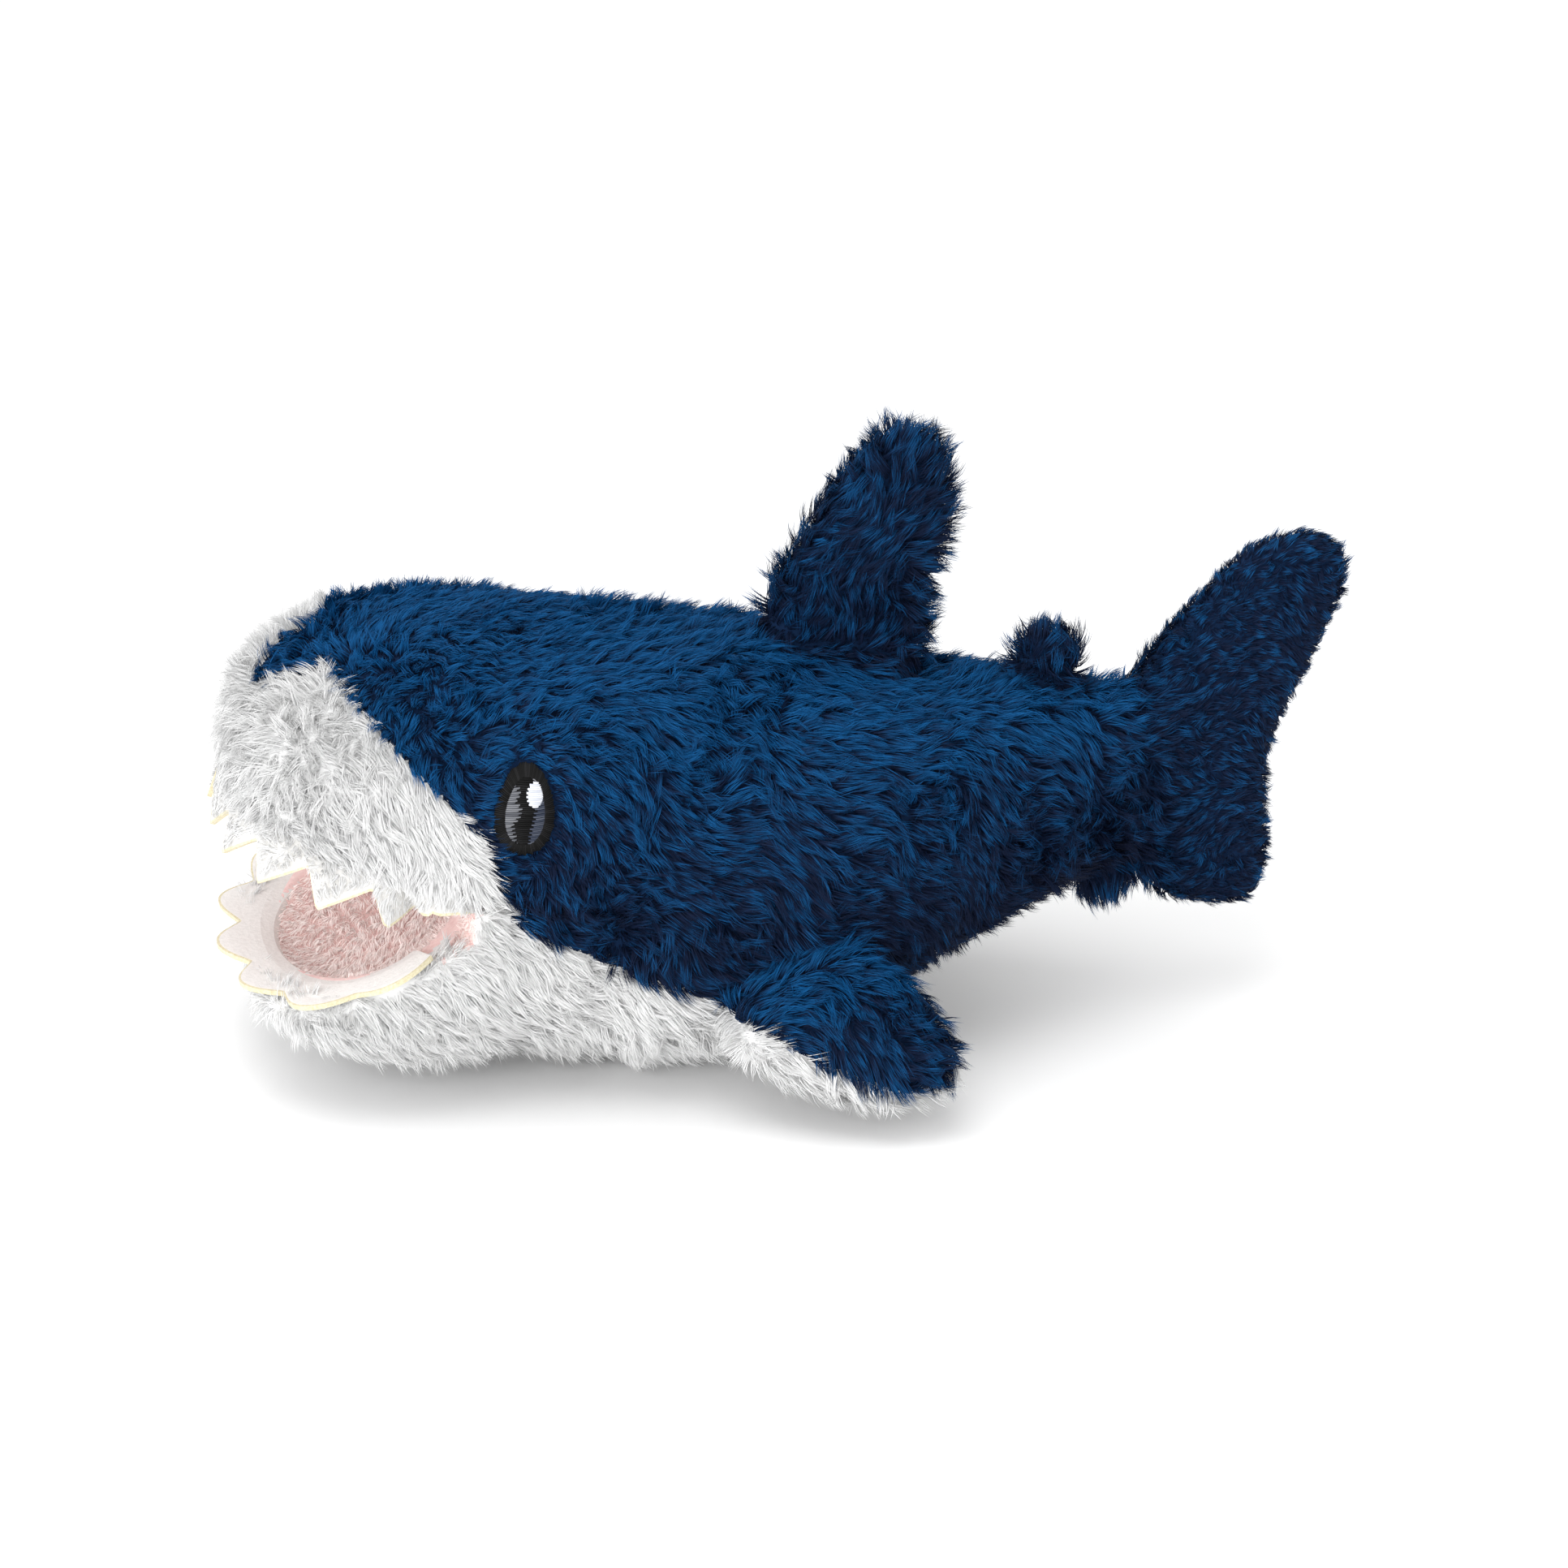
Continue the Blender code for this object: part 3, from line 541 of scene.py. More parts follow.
def inside_mouth_lining(points, normals):
    """Which points lie on the mouth's roof, floor, bowl or back."""
    x, y, z = points.T
    local_y, local_z = jaw_local(points)
    spread = bowl_spread(x, local_y)
    inside_mouth = (y < MOUTH_BACK_Y + 8 * MM) & (abs(x) < 47 * MM) & (z < roof_height(y) + 3 * MM)
    ahead = np.clip(MOUTH_BACK_Y - y, 0, None) / (RIM_LENGTH - 1 * MM)
    within_rim = abs(x / (RIM_HALF_WIDTH - 1 * MM)) ** RIM_POWER + ahead**RIM_POWER < 1
    roof = inside_mouth & within_rim & (normals[:, 2] < -0.25) & (z > 50 * MM)
    floor = inside_mouth & (local_z > 4 * MM) & (local_z < 16 * MM) & (spread < 1.3)
    bowl = (spread < 1.0) & (abs(local_z) < 10 * MM) & (y < MOUTH_BACK_Y + 6 * MM)
    back = inside_mouth & (normals[:, 1] < -0.5) & (y > MOUTH_BACK_Y - 8 * MM)
    back &= (z > 40 * MM) & (local_z > 3 * MM)
    return roof | floor | bowl | back


def colours_of(points, normals):
    """Blue, white or pink for points on the skin."""
    colour = colour_pectoral_fins(points, back_and_belly(points))
    return np.where(inside_mouth_lining(points, normals), PINK, colour)


def bodies_of(points, trunk_tree):
    """Number of the body, in BODY_NAMES, that each skin point is grouped with."""
    x, y, z = points.T
    body = np.zeros(len(points), int)
    lip = np.interp(y, LIP_Y, LIP_Z)
    body[(y < JAW_REGION_BACK) & (z < lip)] = BODY_NAMES.index("lower_jaw")
    body[y > TAIL_BEND[0]] = BODY_NAMES.index("tail")
    ranges = {"dorsal_fin": (-16, 52), "second_dorsal_fin": (50, 82), "anal_fin": (66, 92)}
    for name, (first, last) in ranges.items():
        near = (y > first * MM) & (y < last * MM) & (abs(x) < 12 * MM)
        body[near & (fin_height(points, name) > FINS[name][2])] = BODY_NAMES.index(name)
    for name, sign in (("pectoral_fin_left", 1), ("pectoral_fin_right", -1)):
        near = (x * sign > 36 * MM) & (abs(y) < 40 * MM) & (z < 50 * MM)
        for index in np.flatnonzero(near & (fin_height(points, name) > FINS[name][2])):
            distance = trunk_tree.find_nearest(Vector(points[index]))[3]
            if distance > 5.5 * MM:
                body[index] = BODY_NAMES.index(name)
    return body


def attach(piece, body):
    """Puts a trunk piece on the trunk's body; a piece of any other body only has its place baked into its mesh."""
    if body == "trunk":
        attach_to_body(piece, "trunk")
    elif body == "lower_jaw":
        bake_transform(piece)
    elif body == "tail":
        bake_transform(piece)
    else:
        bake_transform(piece)


def make_skin_pieces(skin, face_body, face_colour, materials):
    """Cuts the skin into one piece for each body, with its colours as materials."""
    pieces = {}
    for number, name in enumerate(BODY_NAMES):
        bm = bmesh.new()
        bm.from_mesh(skin)
        bm.faces.ensure_lookup_table()
        others = [face for face in bm.faces if face_body[face.index] != number]
        for face in bm.faces:
            face.material_index = int(face_colour[face.index])
            face.smooth = True
        bmesh.ops.delete(bm, geom=others, context="FACES")
        mesh = bpy.data.meshes.new("skin_" + name)
        bm.to_mesh(mesh)
        bm.free()
        for material in materials:
            mesh.materials.append(material)
        piece = add_object("skin_" + name, mesh)
        attach(piece, name)
        pieces[name] = piece
    return pieces


# ---------------------------------------------------------------- pile


def scatter(points, normals, triangles):
    """Even random places on triangles for strands: position, normal and triangle number."""
    corner = points[triangles]
    area = np.linalg.norm(np.cross(corner[:, 1] - corner[:, 0], corner[:, 2] - corner[:, 0]), axis=1) / 2
    count = int(area.sum() / MM**2 * STRANDS_PER_MM2)
    pick = random.choice(len(triangles), size=count, p=area / area.sum())
    first, second = random.random((2, count))
    over = first + second > 1
    first, second = np.where(over, 1 - first, first), np.where(over, 1 - second, second)
    weights = np.stack([1 - first - second, first, second], axis=1)[:, :, None]
    place = (corner[pick] * weights).sum(1)
    normal = unit((normals[triangles[pick]] * weights).sum(1))
    return place, normal, pick


def comb_direction(points, body):
    """Which way the pile lies on each part of the shark."""
    comb = np.tile(np.array([0.0, 0.75, -0.55]), (len(points), 1))
    muzzle = (points[:, 1] < -85 * MM) & (points[:, 2] > 55 * MM)
    comb[muzzle] = (0.0, 0.40, -0.8)
    comb[(points[:, 1] < -85 * MM) & (points[:, 2] > 112 * MM)] = (0.0, 0.8, 0.2)
    comb[body == BODY_NAMES.index("tail")] = (0.0, 0.9, 0.1)
    for name in FINS:
        out = fin_frame(name)[2]
        comb[body == BODY_NAMES.index(name)] = out * 0.7 + np.array([0, 0.35, 0])
    return comb


def mouth_limits(points):
    """Distance from the mouth's rims, and which places lie under the bare gum."""
    x, y, z = points.T
    local_y, local_z = jaw_local(points)
    spread = np.sqrt((x / GUM_RADII[0]) ** 2 + ((local_y - BOWL_CENTRE_Y) / GUM_RADII[1]) ** 2)
    in_bowl = bowl_spread(x, local_y) < 1
    on_jaw = (y < MOUTH_BACK_Y + 4 * MM) & (local_z < JAW_TOP + 6 * MM)
    under_gum = on_jaw & (local_z > JAW_TOP - 0.9 * MM) & ~in_bowl & (spread < 0.99)
    share = np.clip((y + 138 * MM) / RIM_LENGTH, 0, 1)
    from_rim = np.where((y < MOUTH_BACK_Y) & ~on_jaw, abs(z - rim_height(share) - 4 * MM), 1.0)
    from_gum = np.where(on_jaw, JAW_TOP + 5 * MM - local_z, 1.0)
    return np.clip(np.minimum(from_rim, from_gum), 0, 1), under_gum


def pile_length(points, body, eye_distance, mouth_distance):
    """Length of the pile: short by the eyes and the mouth, smooth on the tail."""
    length = np.full(len(points), PILE_LENGTH)
    length[body == BODY_NAMES.index("dorsal_fin")] *= 1.12
    tail = np.clip((points[:, 1] - 84 * MM) / (20 * MM), 0, 1)
    length *= 1 - 0.48 * tail
    length *= 1 - 0.25 * (points[:, 1] < -60 * MM) * np.clip((points[:, 2] - 100 * MM) / (10 * MM), 0, 1)
    length *= np.clip(0.30 + eye_distance / (9 * MM), 0.30, 1)
    length *= np.clip(0.45 + mouth_distance / (14 * MM), 0.45, 1)
    return length


def grow_strands(place, normal, comb, length, lean, gather, calm=1.0):
    """Curved strands that gather into tufts: (strand, 4 points along it, 3) and each tuft's tone."""
    count = len(place)
    tufts = max(1, int(count / (STRANDS_PER_MM2 * (TUFT_SPACING / MM) ** 2)))
    centres = random.choice(count, size=min(tufts, count), replace=False)
    tree = KDTree(len(centres))
    for number, centre in enumerate(centres):
        tree.insert(place[centre], number)
    tree.balance()
    nearest = centres[np.array([tree.find(point)[1] for point in place])]
    tangent = comb - normal * (comb * normal).sum(1, keepdims=True)
    turned = (swirl(place, 30 * MM, 3) * 0.55 + swirl(place, 9 * MM, 5) * 0.35) * calm
    tangent = tangent + turned - normal * (turned * normal).sum(1, keepdims=True)
    heading = normal * (1 - lean) + tangent * lean + random.normal(size=(count, 3)) * 0.07
    tuft_heading = heading + (random.normal(size=(count, 3)) * 0.20)[nearest]
    heading = unit(tuft_heading)
    own_length = (length * random.uniform(0.75, 1.12, count))[:, None]
    tip = place + heading * own_length
    tuft_tip = place[nearest] + unit(tuft_heading[nearest]) * own_length * 1.02
    tip = tip * (1 - gather) + tuft_tip * gather + random.normal(size=(count, 3)) * 0.18 * MM
    control = place + normal * own_length * 0.42
    steps = np.array([0.0, 0.36, 0.72, 1.0])[None, :, None]
    start = (place - normal * 0.3 * MM)[:, None]
    line = start * (1 - steps) ** 2 + 2 * control[:, None] * steps * (1 - steps) + tip[:, None] * steps**2
    tone = random.random(count)[nearest]
    return line, tone


def strand_mesh(name, line, normal, tone, material, painted_top_light):
    """Flat tapering strands as one mesh, with a shade attribute and its own tiny map cells."""
    count = len(line)
    direction = unit(line[:, 1:] - line[:, :-1])
    facing = unit(normal + random.normal(size=(count, 3)) * 0.55)
    side = unit(np.cross(direction, facing[:, None]))
    taper = np.array([1.0, 0.85, 0.5])[None, :, None] * STRAND_WIDTH / 2
    left = line[:, :3] - side * taper
    right = line[:, :3] + side * taper
    points = np.concatenate([np.stack([left, right], 2).reshape(count, 6, 3), line[:, 3:]], 1)
    points[:, :, 2] = np.maximum(points[:, :, 2], FLOOR_CLEARANCE)
    pattern = np.array([0, 1, 3, 2, 2, 3, 5, 4, 4, 5, 6])
    corners = (np.arange(count)[:, None] * 7 + pattern).ravel()
    sizes = np.tile([4, 4, 3], count)
    mesh = bpy.data.meshes.new(name)
    mesh.vertices.add(count * 7)
    mesh.loops.add(len(corners))
    mesh.polygons.add(len(sizes))
    mesh.vertices.foreach_set("co", points.ravel())
    mesh.loops.foreach_set("vertex_index", corners)
    mesh.polygons.foreach_set("loop_start", np.concatenate([[0], np.cumsum(sizes)[:-1]]))
    mesh.polygons.foreach_set("loop_total", sizes)
    mesh.update(calc_edges=True)
    mesh.polygons.foreach_set("use_smooth", np.ones(len(sizes), bool))
    mesh.materials.append(material)
    # painted top light: strands that face up are lighter, those on the sides and underneath darker
    add_shade(mesh, count, tone, 0.50 * normal[:, 2] * painted_top_light - 0.10)
    add_map_cells(mesh, count, pattern)
    return mesh


def add_shade(mesh, count, tone, painted_light_offset):
    """Root to tip, each strand offset by its tuft's tone and by a painted top light: lighter the more it faces up,
    darker on the sides and underneath.
    """
    along = np.array([0.02, 0.02, 0.30, 0.30, 0.62, 0.62, 0.86])
    own = tone[:, None] * 0.75 + random.random((count, 1)) * 0.5 - 0.55
    shade = along[None] * (1 + 0.6 * own) + (0.26 * own + painted_light_offset[:, None]) * (along[None] > 0.1)
    set_shade(mesh, np.clip(shade, 0, 1))


def add_map_cells(mesh, count, pattern):
    """Gives each strand a cell of the colour map, with the root low and the tip high in it."""
    across = math.ceil(math.sqrt(count))
    cell = np.stack(np.divmod(np.arange(count), across), 1)[:, None, :]
    pairs = [[side, height] for height in (0.1, 0.37, 0.64) for side in (0.2, 0.8)]
    inside = np.array(pairs + [[0.5, 0.9]])
    spots = (cell + inside[None]) / across
    set_map(mesh, spots[:, pattern])


def add_pile(name, body, line, normal, tone, material):
    """Adds strands in pieces small enough to keep every strand when they are stored."""
    order = np.argsort(line[:, 0, 1])
    groups = math.ceil(len(order) / MOST_STRANDS_IN_PIECE)
    # the trunk's pile gets the full painted top light, every other body a quarter of it
    painted_top_light = 1.0 if body == "trunk" else 0.25
    for number, part in enumerate(np.array_split(order, groups)):
        piece_name = name if groups == 1 else f"{name}_{number + 1}"
        mesh = strand_mesh(piece_name, line[part], normal[part], tone[part], material, painted_top_light)
        piece = add_object(piece_name, mesh)
        attach(piece, body)


# ---------------------------------------------------------------- teeth


def saw(distance, pitch, steep=0.16):
    """Depth, from 0 to 1, of pinked teeth that drop sharply at their front and rise slowly behind."""
    share = (abs(distance) / pitch + steep) % 1
    return np.where(share < steep, share / steep, (1 - share) / (1 - steep))


def power_curve(angle, radii, power):
    """A rounded-corner oval: angle 0 is at the front."""
    across = np.sign(np.sin(angle)) * abs(np.sin(angle)) ** (2 / power) * radii[0]
    ahead = np.sign(np.cos(angle)) * abs(np.cos(angle)) ** (2 / power) * radii[1]
    return across, ahead


def rim_path():
    """Evenly spaced points along the muzzle's rim from right to left, and their distance from the nose."""
    angle = np.radians(np.linspace(-90, 90, 2001))
    x, ahead = power_curve(angle, (RIM_HALF_WIDTH, RIM_LENGTH), RIM_POWER)
    points = np.stack([x, MOUTH_BACK_Y - ahead, rim_height(1 - ahead / RIM_LENGTH)], 1)
    travelled = travelled_along(points)
    even = np.linspace(0, travelled[-1], RIM_COLUMNS)
    path = np.stack([np.interp(even, travelled, points[:, axis]) for axis in range(3)], 1)
    return path, even - travelled[-1] / 2


def smooth_row(row):
    """Evens out a row of points between its two ends."""
    for _ in range(12):
        row[1:-1] = (row[:-2] + row[1:-1] * 2 + row[2:]) / 4
    return row


def skin_row(path, outward, rise, tree, stand_off):
    """Points on the muzzle's outer skin at a height over the rim, a little proud of it."""
    row = np.empty_like(path)
    for index, (point, out) in enumerate(zip(path, outward)):
        origin = Vector(point + out * 25 * MM)
        origin.z += rise
        hit = tree.ray_cast(origin, Vector(-out), 40 * MM)[0]
        base = np.array(hit) if hit else point + out * 2 * MM + np.array([0, 0, rise])
        row[index] = base + out * stand_off
    return smooth_row(row)


def add_cloth(name, rows, materials, body, flip=False):
    """A cloth sheet through a grid of points, its rim and last strip in the second material."""
    count, columns = rows.shape[:2]
    faces = grid_faces(count, columns)
    if flip:
        faces = faces[:, ::-1]
    mesh = bpy.data.meshes.new(name)
    mesh.from_pydata(rows.reshape(-1, 3).tolist(), [], faces.tolist())
    for material in materials:
        mesh.materials.append(material)
    last_strip = np.arange(len(faces)) >= len(faces) - (columns - 1)
    mesh.polygons.foreach_set("material_index", last_strip.astype(int))
    sheet = add_object(name + "_sheet", mesh)
    solid = sheet.modifiers.new("thickness", "SOLIDIFY")
    solid.thickness = TOOTH_CLOTH
    solid.offset = 0
    solid.material_offset_rim = 1
    thick = evaluated_mesh(sheet)
    thick.name = name
    piece = add_object(name, thick)
    attach(piece, body)
    return piece


def make_upper_teeth(tree, cloth, edge, pile):
    """The furry cloth band with pinked teeth along the muzzle's rim."""
    path, distance = rim_path()
    outward = path - np.array([0, MOUTH_BACK_Y, 0])
    outward[:, 2] = 0
    outward = unit(outward)
    top = skin_row(path, outward, 11 * MM, tree, -1.5 * MM)
    low = skin_row(path, outward, 6.5 * MM, tree, 1.0 * MM)
    down = unit(smooth_row(unit(low - top) + np.array([0, 0, -0.6])))
    depth = TOOTH_DEPTH * saw(distance, TOOTH_PITCH) * (abs(distance) < TOOTH_ROW_REACH)
    ends = np.clip((distance[-1] - abs(distance)) / (8 * MM), 0, 1)
    reach = (3.5 * MM * ends + depth)[:, None]
    shares = (0.0, 0.34, 0.67, 1.0)
    uncut = np.maximum(reach - CUT_EDGE, 0.05 * MM)
    rows = np.stack([top] + [low + down * uncut * share for share in shares] + [low + down * reach])
    piece = add_cloth("upper_teeth", rows, [cloth, edge], "trunk")
    furry = np.stack([top] + [low + down * np.maximum(reach - 2.4 * MM, 0) * share for share in shares])
    grow_on_sheet("upper_teeth_pile", furry, outward, down, pile)
    return piece


def grow_on_sheet(name, rows, outward, down, pile):
    """Short pile over the outside of a sheet, combed towards its cut edge."""
    count, columns = rows.shape[:2]
    quads = grid_faces(count, columns)
    triangles = np.concatenate([quads[:, [0, 1, 2]], quads[:, [0, 2, 3]]])
    normals = np.tile(outward, (count, 1))
    place, normal, picked = scatter(rows.reshape(-1, 3), normals, triangles)
    column = triangles[picked][:, 0] % columns
    place = place + normal * 0.5 * MM
    length = np.full(len(place), TOOTH_PILE)
    line, tone = grow_strands(place, normal, down[column], length, TOOTH_LEAN, TUFT_GATHER)
    add_pile(name, "trunk", line, normal, tone, pile)


def make_lower_teeth(cloth, edge):
    """The bare white gum around the bowl, with teeth that point out over the chin."""
    angle = np.linspace(-GUM_REACH, GUM_REACH, RIM_COLUMNS)
    inner = power_curve(angle, BOWL_RADII, 2)
    outer = power_curve(angle, GUM_RADII, GUM_POWER)
    inner = np.stack([inner[0], BOWL_CENTRE_Y - inner[1]], 1)
    outer = np.stack([outer[0], BOWL_CENTRE_Y - outer[1]], 1)
    outward = unit(outer - np.array([0, BOWL_CENTRE_Y]))
    travelled = travelled_along(outer)
    distance = travelled - travelled[-1] / 2
    tooth = LOWER_TOOTH * np.sin(saw(distance, travelled[-1] / GUM_TEETH, 0.45) * math.pi / 2) ** 1.3
    rows = []
    for share, height in ((-0.03, -0.8), (0.03, 0.6), (0.4, 1.7), (1.0, 2.4)):
        flat = inner * (1 - share) + outer * share
        rows.append([jaw_world(x, y, JAW_TOP + height * MM) for x, y in flat])
    for share, extra in ((0.35, 0.0), (0.7, 0.0), (1.0, 0.1 * MM), (1.0, CUT_EDGE)):
        flat = outer + outward * (tooth * share + extra)[:, None]
        rise = 2.4 * MM + tooth * share * 0.25
        rows.append([jaw_world(x, y, JAW_TOP + up) for (x, y), up in zip(flat, rise)])
    return add_cloth("lower_teeth", np.array(rows), [cloth, edge], "lower_jaw", flip=True)


# ---------------------------------------------------------------- eyes


class Eye:
    """One embroidered eye: places points over the side of the head and lays threads on it."""

    def __init__(self, side, tree):
        self.side = side
        self.tree = tree
        self.threads = {}  # colour: (points, faces, (shade, thread number, across, along) of each point)

    def half_width(self, v, inset=0.0):
        """Half width of the egg at height v over its middle."""
        tall = EYE_RADII[1] - inset
        share = np.clip(v / tall, -1, 1)
        return (EYE_RADII[0] - inset) * math.sqrt(max(1 - share * share, 0)) * (1 - 0.14 * share)

    def point(self, u, v, lift=0.0):
        """u runs towards the tail and v upwards, both from the middle of the eye."""
        y = EYE_Y + u * math.cos(EYE_LEAN) + v * math.sin(EYE_LEAN)
        z = EYE_Z - u * math.sin(EYE_LEAN) + v * math.cos(EYE_LEAN)
        hit = self.tree.ray_cast(Vector((self.side * 0.1, y, z)), Vector((-self.side, 0, 0)))[0]
        spread = min((u / EYE_RADII[0]) ** 2 + (v / EYE_RADII[1]) ** 2, 1)
        return hit + Vector((self.side, 0, 0)) * (EYE_LIFT[0] + EYE_LIFT[1] * (1 - spread) + lift)

    def thread(self, colour, start, end, lift=0.0):
        """A rounded thread between two eye positions, sunk at both ends."""
        points, faces, marks = self.threads.setdefault(colour, ([], [], []))
        across = (Vector(end) - Vector(start)).normalized()
        side = Vector((-across.y, across.x)) * THREAD_PITCH * 0.56
        first = len(points)
        bright = random.uniform(0.45, 1.0)
        for step, rise in ((0.0, -0.8), (0.15, 0.5), (0.5, 1.0), (0.85, 0.5), (1.0, -0.8)):
            middle = Vector(start).lerp(Vector(end), step)
            for offset, crown in ((-1, 0.0), (-0.45, 0.85), (0.45, 0.85), (1, 0.0)):
                at = middle + side * offset
                points.append(self.point(at.x, at.y, lift + THREAD_HEIGHT * (rise * 0.6 + crown)))
                # each point's shade is a painted highlight on the thread's crown and painted shade at its edges,
                # stronger on some threads than on others
                marks.append((bright * crown, 1 + first // 20, 0.5 + offset * 0.35, 0.1 + step * 0.8))
        for row in range(4):
            for column in range(3):
                a = first + row * 4 + column
                face = (a, a + 1, a + 5, a + 4)
                faces.append(face if self.side < 0 else face[::-1])

    def lay_border(self):
        """Black threads laid across the border, all round."""
        count = int(math.tau * 9.2 * MM / THREAD_PITCH)
        for number in range(count):
            angle = math.tau * number / count
            v = EYE_RADII[1] * math.sin(angle)
            u = math.copysign(self.half_width(v), math.cos(angle))
            inner_v = (EYE_RADII[1] - EYE_BORDER) * math.sin(angle)
            inner_u = math.copysign(self.half_width(inner_v, EYE_BORDER), math.cos(angle))
            stretch = random.uniform(0.0, 0.05)
            start = (u * (1 + stretch), v * (1 + stretch))
            self.thread("black", start, (inner_u * 0.92, inner_v * 0.94), 0.25 * MM)

    def lay_iris(self):
        """Rows of threads: grey towards the nose, black in the middle, dark grey towards the tail."""
        grey_ends = ([-8, -5, -3, -1, 0.8, 2.6, 4, 6], [-1.4, -2.3, -2.9, -1.5, -1.2, -2.5, -1.6, -2.2])
        dark_starts = ([-8, -6, -4, -2, 0.5, 4, 8], [1.6, 1.5, 1.7, 2.3, 2.6, 2.9, 2.6])
        reach = EYE_RADII[1] - EYE_BORDER
        for number in range(int(2 * reach / THREAD_PITCH)):
            v = -reach + (number + 0.5) * THREAD_PITCH
            edge = self.half_width(v, EYE_BORDER) + 0.3 * MM
            jog = (0.35 if number % 2 else -0.35) * MM + random.uniform(-0.15, 0.15) * MM
            grey = float(np.interp(v / MM, *grey_ends)) * MM + jog
            dark = float(np.interp(v / MM, *dark_starts)) * MM - jog
            grey, dark = max(grey, -edge), min(dark, edge)
            tilt = 0.35 * MM
            if -7.6 * MM < v < 6.2 * MM and grey > -edge + 0.3 * MM:
                self.thread("grey", (-edge, v - tilt), (grey, v))
            else:
                grey = -edge
            if v < 6.0 * MM and dark < edge - 0.3 * MM:
                self.thread("dark", (dark, v), (edge, v + tilt))
            else:
                dark = edge
            if dark - grey > 0.4 * MM:
                self.thread("black", (grey, v), (dark, v), -0.05 * MM)

    def lay_highlight(self):
        """A white oval with a ragged front edge, and a grey stitch over it."""
        for number in range(13):
            v = (1.5 + number * 0.42) * MM
            share = (v / MM - 4.0) / 2.75
            half = 2.0 * MM * math.sqrt(max(1 - share * share, 0.04))
            ragged = (0.4 if number % 2 else 0.0) * MM
            self.thread("white", ((2.35 * MM) - half - ragged, v), (2.35 * MM + half * 0.9, v), 0.35 * MM)
        for number in range(3):
            v = (7.4 + 0.35 * number) * MM
            self.thread("grey", (1.4 * MM, v), (3.0 * MM, v - 0.7 * MM), 0.15 * MM)

    def lay_pad(self):
        """The closed black pad under the threads."""
        points, faces, marks = self.threads.setdefault("black", ([], [], []))
        rings, around = 7, 48
        first = len(points)
        marks.extend([(0.1, 0, 0.5, 0.5)] * (1 + rings * around))
        points.append(self.point(0, 0))
        for ring in range(1, rings + 1):
            for step in range(around):
                angle = math.tau * step / around
                v = EYE_RADII[1] * ring / rings * math.sin(angle)
                full = self.half_width(EYE_RADII[1] * math.sin(angle)) * ring / rings
                sink = -4 * MM if ring == rings else 0
                points.append(self.point(math.copysign(full, math.cos(angle)), v, sink))
        for step in range(around):
            after = (step + 1) % around
            faces.append((first, first + 1 + step, first + 1 + after))
            for ring in range(rings - 1):
                a = first + 1 + ring * around
                faces.append((a + step, a + around + step, a + around + after, a + after))

    def build(self, materials):
        """Lays every thread and makes one piece of each colour."""
        self.lay_pad()
        self.lay_iris()
        self.lay_highlight()
        self.lay_border()
        name = "left" if self.side > 0 else "right"
        nodes = {
            "black": [f"eye_border_{name}", f"eye_pupil_{name}"],
            "grey": [f"eye_iris_{name}"],
            "dark": [],
            "white": [f"eye_highlight_{name}"],
        }
        for colour, (points, faces, marks) in self.threads.items():
            mesh = bpy.data.meshes.new(f"eye_{colour}_{name}")
            mesh.from_pydata(points, [], faces)
            mesh.polygons.foreach_set("use_smooth", [True] * len(faces))
            mesh.materials.append(materials[colour])
            shade, number, across, along = np.array(marks).T
            set_shade(mesh, shade)
            cells = math.ceil(math.sqrt(number.max() + 1))
            spots = np.stack([number // cells + across, number % cells + along], 1) / cells
            corners = np.empty(len(mesh.loops), int)
            mesh.loops.foreach_get("vertex_index", corners)
            set_map(mesh, spots[corners])
            piece = add_object(mesh.name, mesh)
            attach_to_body(piece, "trunk")
            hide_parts(*nodes[colour])


def thread_materials():
    """One material for each colour of thread, with a painted highlight on each thread's crown and painted shade at
    its edges.
    """
    # painted shade at a thread's edge, its middle colour, and painted highlight on its crown
    shades = {
        "black": ((0.0005, 0.0005, 0.0005), (0.003, 0.003, 0.003), (0.013, 0.013, 0.014)),
        "grey": ((0.02, 0.02, 0.025), (0.10, 0.105, 0.12), (0.22, 0.225, 0.24)),
        "dark": ((0.004, 0.006, 0.015), (0.03, 0.038, 0.06), (0.12, 0.13, 0.16)),
        "white": ((0.38, 0.40, 0.48), (0.60, 0.62, 0.67), (0.74, 0.75, 0.78)),
    }
    return {name: pile_material(name + "_sheen", shade, 0.5) for name, shade in shades.items()}


# ---------------------------------------------------------------- stage


def make_stage():
    """A pale floor, white surroundings and three soft lamps."""
    bpy.ops.mesh.primitive_plane_add(size=6, location=(0, 0, 0))
    floor = bpy.context.object
    floor.name = "floor"
    material, _ = principled("floor_paper", (0.94, 0.94, 0.94), 0.9)
    floor.data.materials.append(material)
    world = bpy.data.worlds.new("studio")
    bpy.context.scene.world = world
    world.use_nodes = True
    background = world.node_tree.nodes["Background"]
    background.inputs["Color"].default_value = (1, 1, 1, 1)
    background.inputs["Strength"].default_value = 0.95
    # name, place, size, power
    lamps = [
        ("key", (0.3, -0.2, 1.2), 0.9, 6),
        ("front", (1.25, -0.60, 0.45), 1.0, 11),
        ("mouth", (0.55, -1.2, 0.22), 0.6, 4.2),
    ]
    for name, place, size, power in lamps:
        light = bpy.data.lights.new(name, "AREA")
        light.size = size
        light.energy = power
        lamp = add_object(name, light)
        lamp.location = place
        lamp.rotation_euler = (Vector((0, 0, 0.06)) - lamp.location).to_track_quat("-Z", "Y").to_euler()
    bpy.context.scene.view_settings.view_transform = "Standard"


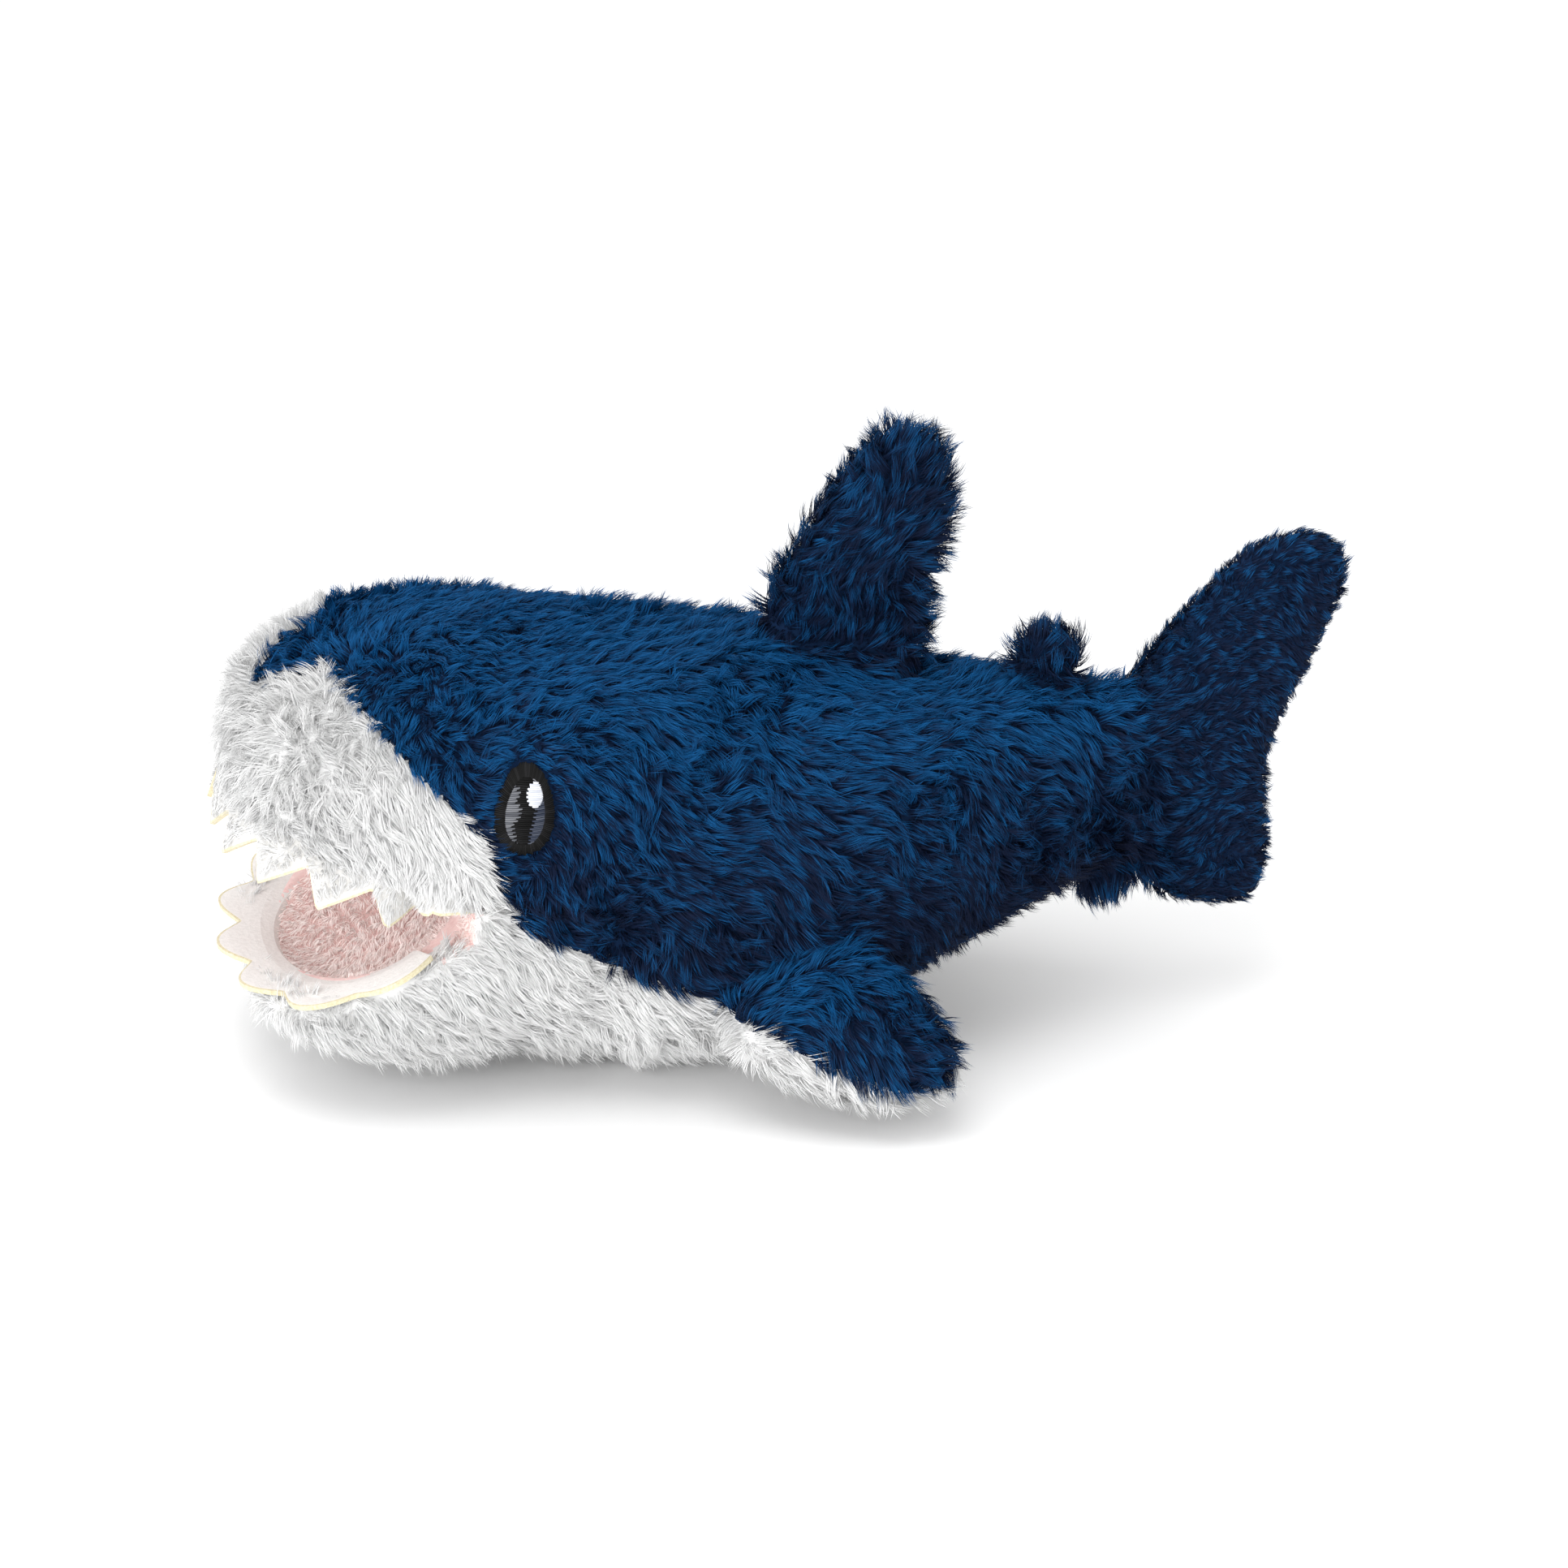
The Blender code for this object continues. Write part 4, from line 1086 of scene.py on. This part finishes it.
def make_camera():
    """A long lens on the shark's left side, a little ahead of it and above."""
    azimuth, elevation = math.radians(81), math.radians(24)
    target = Vector((0, 0, 65.2 * MM))
    width, distance = 386 * MM, 2.6
    back = Vector((
        math.sin(azimuth) * math.cos(elevation),
        -math.cos(azimuth) * math.cos(elevation),
        math.sin(elevation),
    ))
    data = bpy.data.cameras.new("camera")
    data.sensor_width = 36
    data.lens = 36 * distance / width
    camera = add_object("camera", data)
    camera.location = target + back * distance
    camera.rotation_euler = (-back).to_track_quat("-Z", "Y").to_euler()
    bpy.context.scene.camera = camera


# ---------------------------------------------------------------- assembly


def trunk_surface():
    """The trunk's filling as a tree that finds the nearest place on it."""
    bm = bmesh.new()
    bm.from_mesh(frame["nodes"]["trunk_filling"].data)
    tree = BVHTree.FromBMesh(bm)
    bm.free()
    return tree


def face_arrays(mesh):
    """Centre and normal of each face, and the face that each of the mesh's triangles lies in."""
    centres = np.empty(len(mesh.polygons) * 3)
    normals = np.empty(len(mesh.polygons) * 3)
    owners = np.empty(len(mesh.loop_triangles), int)
    mesh.polygons.foreach_get("center", centres)
    mesh.polygons.foreach_get("normal", normals)
    mesh.loop_triangles.foreach_get("polygon_index", owners)
    return centres.reshape(-1, 3), normals.reshape(-1, 3), owners


def distance_from_eye(points):
    """Rough distance outside the edge of the eye, below zero under the eye."""
    offset = np.stack([(points[:, 1] - EYE_Y) / EYE_RADII[0], (points[:, 2] - EYE_Z) / EYE_RADII[1]], 1)
    return (np.linalg.norm(offset, axis=1) - 1) * 9 * MM


def cover_with_pile(points, normals, triangles, triangle_body, piles):
    """Grows the pile of every body in each colour, over all of the skin but the eyes and the gum."""
    place, normal, picked = scatter(points, normals, triangles)
    body = triangle_body[picked]
    colour = colours_of(place, normal)
    from_eye = distance_from_eye(place)
    from_mouth, under_gum = mouth_limits(place)
    length = pile_length(place, body, from_eye, from_mouth)
    comb = comb_direction(place, body)
    for number, body_name in enumerate(BODY_NAMES):
        for wanted, (label, slot) in enumerate(PILE_NAMES):
            chosen = (body == number) & (colour == wanted) & (from_eye > 0) & ~under_gum
            if chosen.sum() < FEWEST_STRANDS:
                continue
            line, tone = grow_strands(
                place[chosen],
                normal[chosen],
                comb[chosen],
                length[chosen] * (PINK_SHORT if wanted == PINK else 1.0),
                PILE_LEAN,
                TUFT_GATHER if wanted == BLUE else PALE_GATHER,
                1.0 if wanted == BLUE else PALE_CALM,
            )
            name = f"pile_{label}_{body_name}"
            add_pile(name, body_name, line, normal[chosen], tone, piles[wanted])


def replace_cloth(skin_pieces):
    """Each skin piece stands for its body's plain cloth and filling."""
    for body_name, piece in skin_pieces.items():
        nodes = frame["record"]["behaviour"]["bodies"][body_name]
        soft = [node for node in nodes if not node.startswith("eye_") and not node.endswith("tooth_strip")]
        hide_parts(*soft)


def build_shark():
    """Makes every piece of the shark."""
    skins, piles, tooth_cloth, gum_cloth, cut_edge = make_materials()
    skin = make_skin_mesh()
    points, normals, triangles = mesh_arrays(skin)
    skin_tree = BVHTree.FromPolygons([Vector(point) for point in points], triangles.tolist())
    face_centres, face_normals, triangle_face = face_arrays(skin)
    face_body = bodies_of(face_centres, trunk_surface())
    skin_pieces = make_skin_pieces(skin, face_body, colours_of(face_centres, face_normals), skins)
    upper_teeth = make_upper_teeth(skin_tree, tooth_cloth, cut_edge, piles[WHITE])
    lower_teeth = make_lower_teeth(gum_cloth, cut_edge)
    threads = thread_materials()
    for side in (1, -1):
        Eye(side, skin_tree).build(threads)
    cover_with_pile(points, normals, triangles, face_body[triangle_face], piles)
    replace_cloth(skin_pieces)
    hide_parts("upper_tooth_strip")
    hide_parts("lower_tooth_strip")


make_camera()
make_stage()
build_shark()
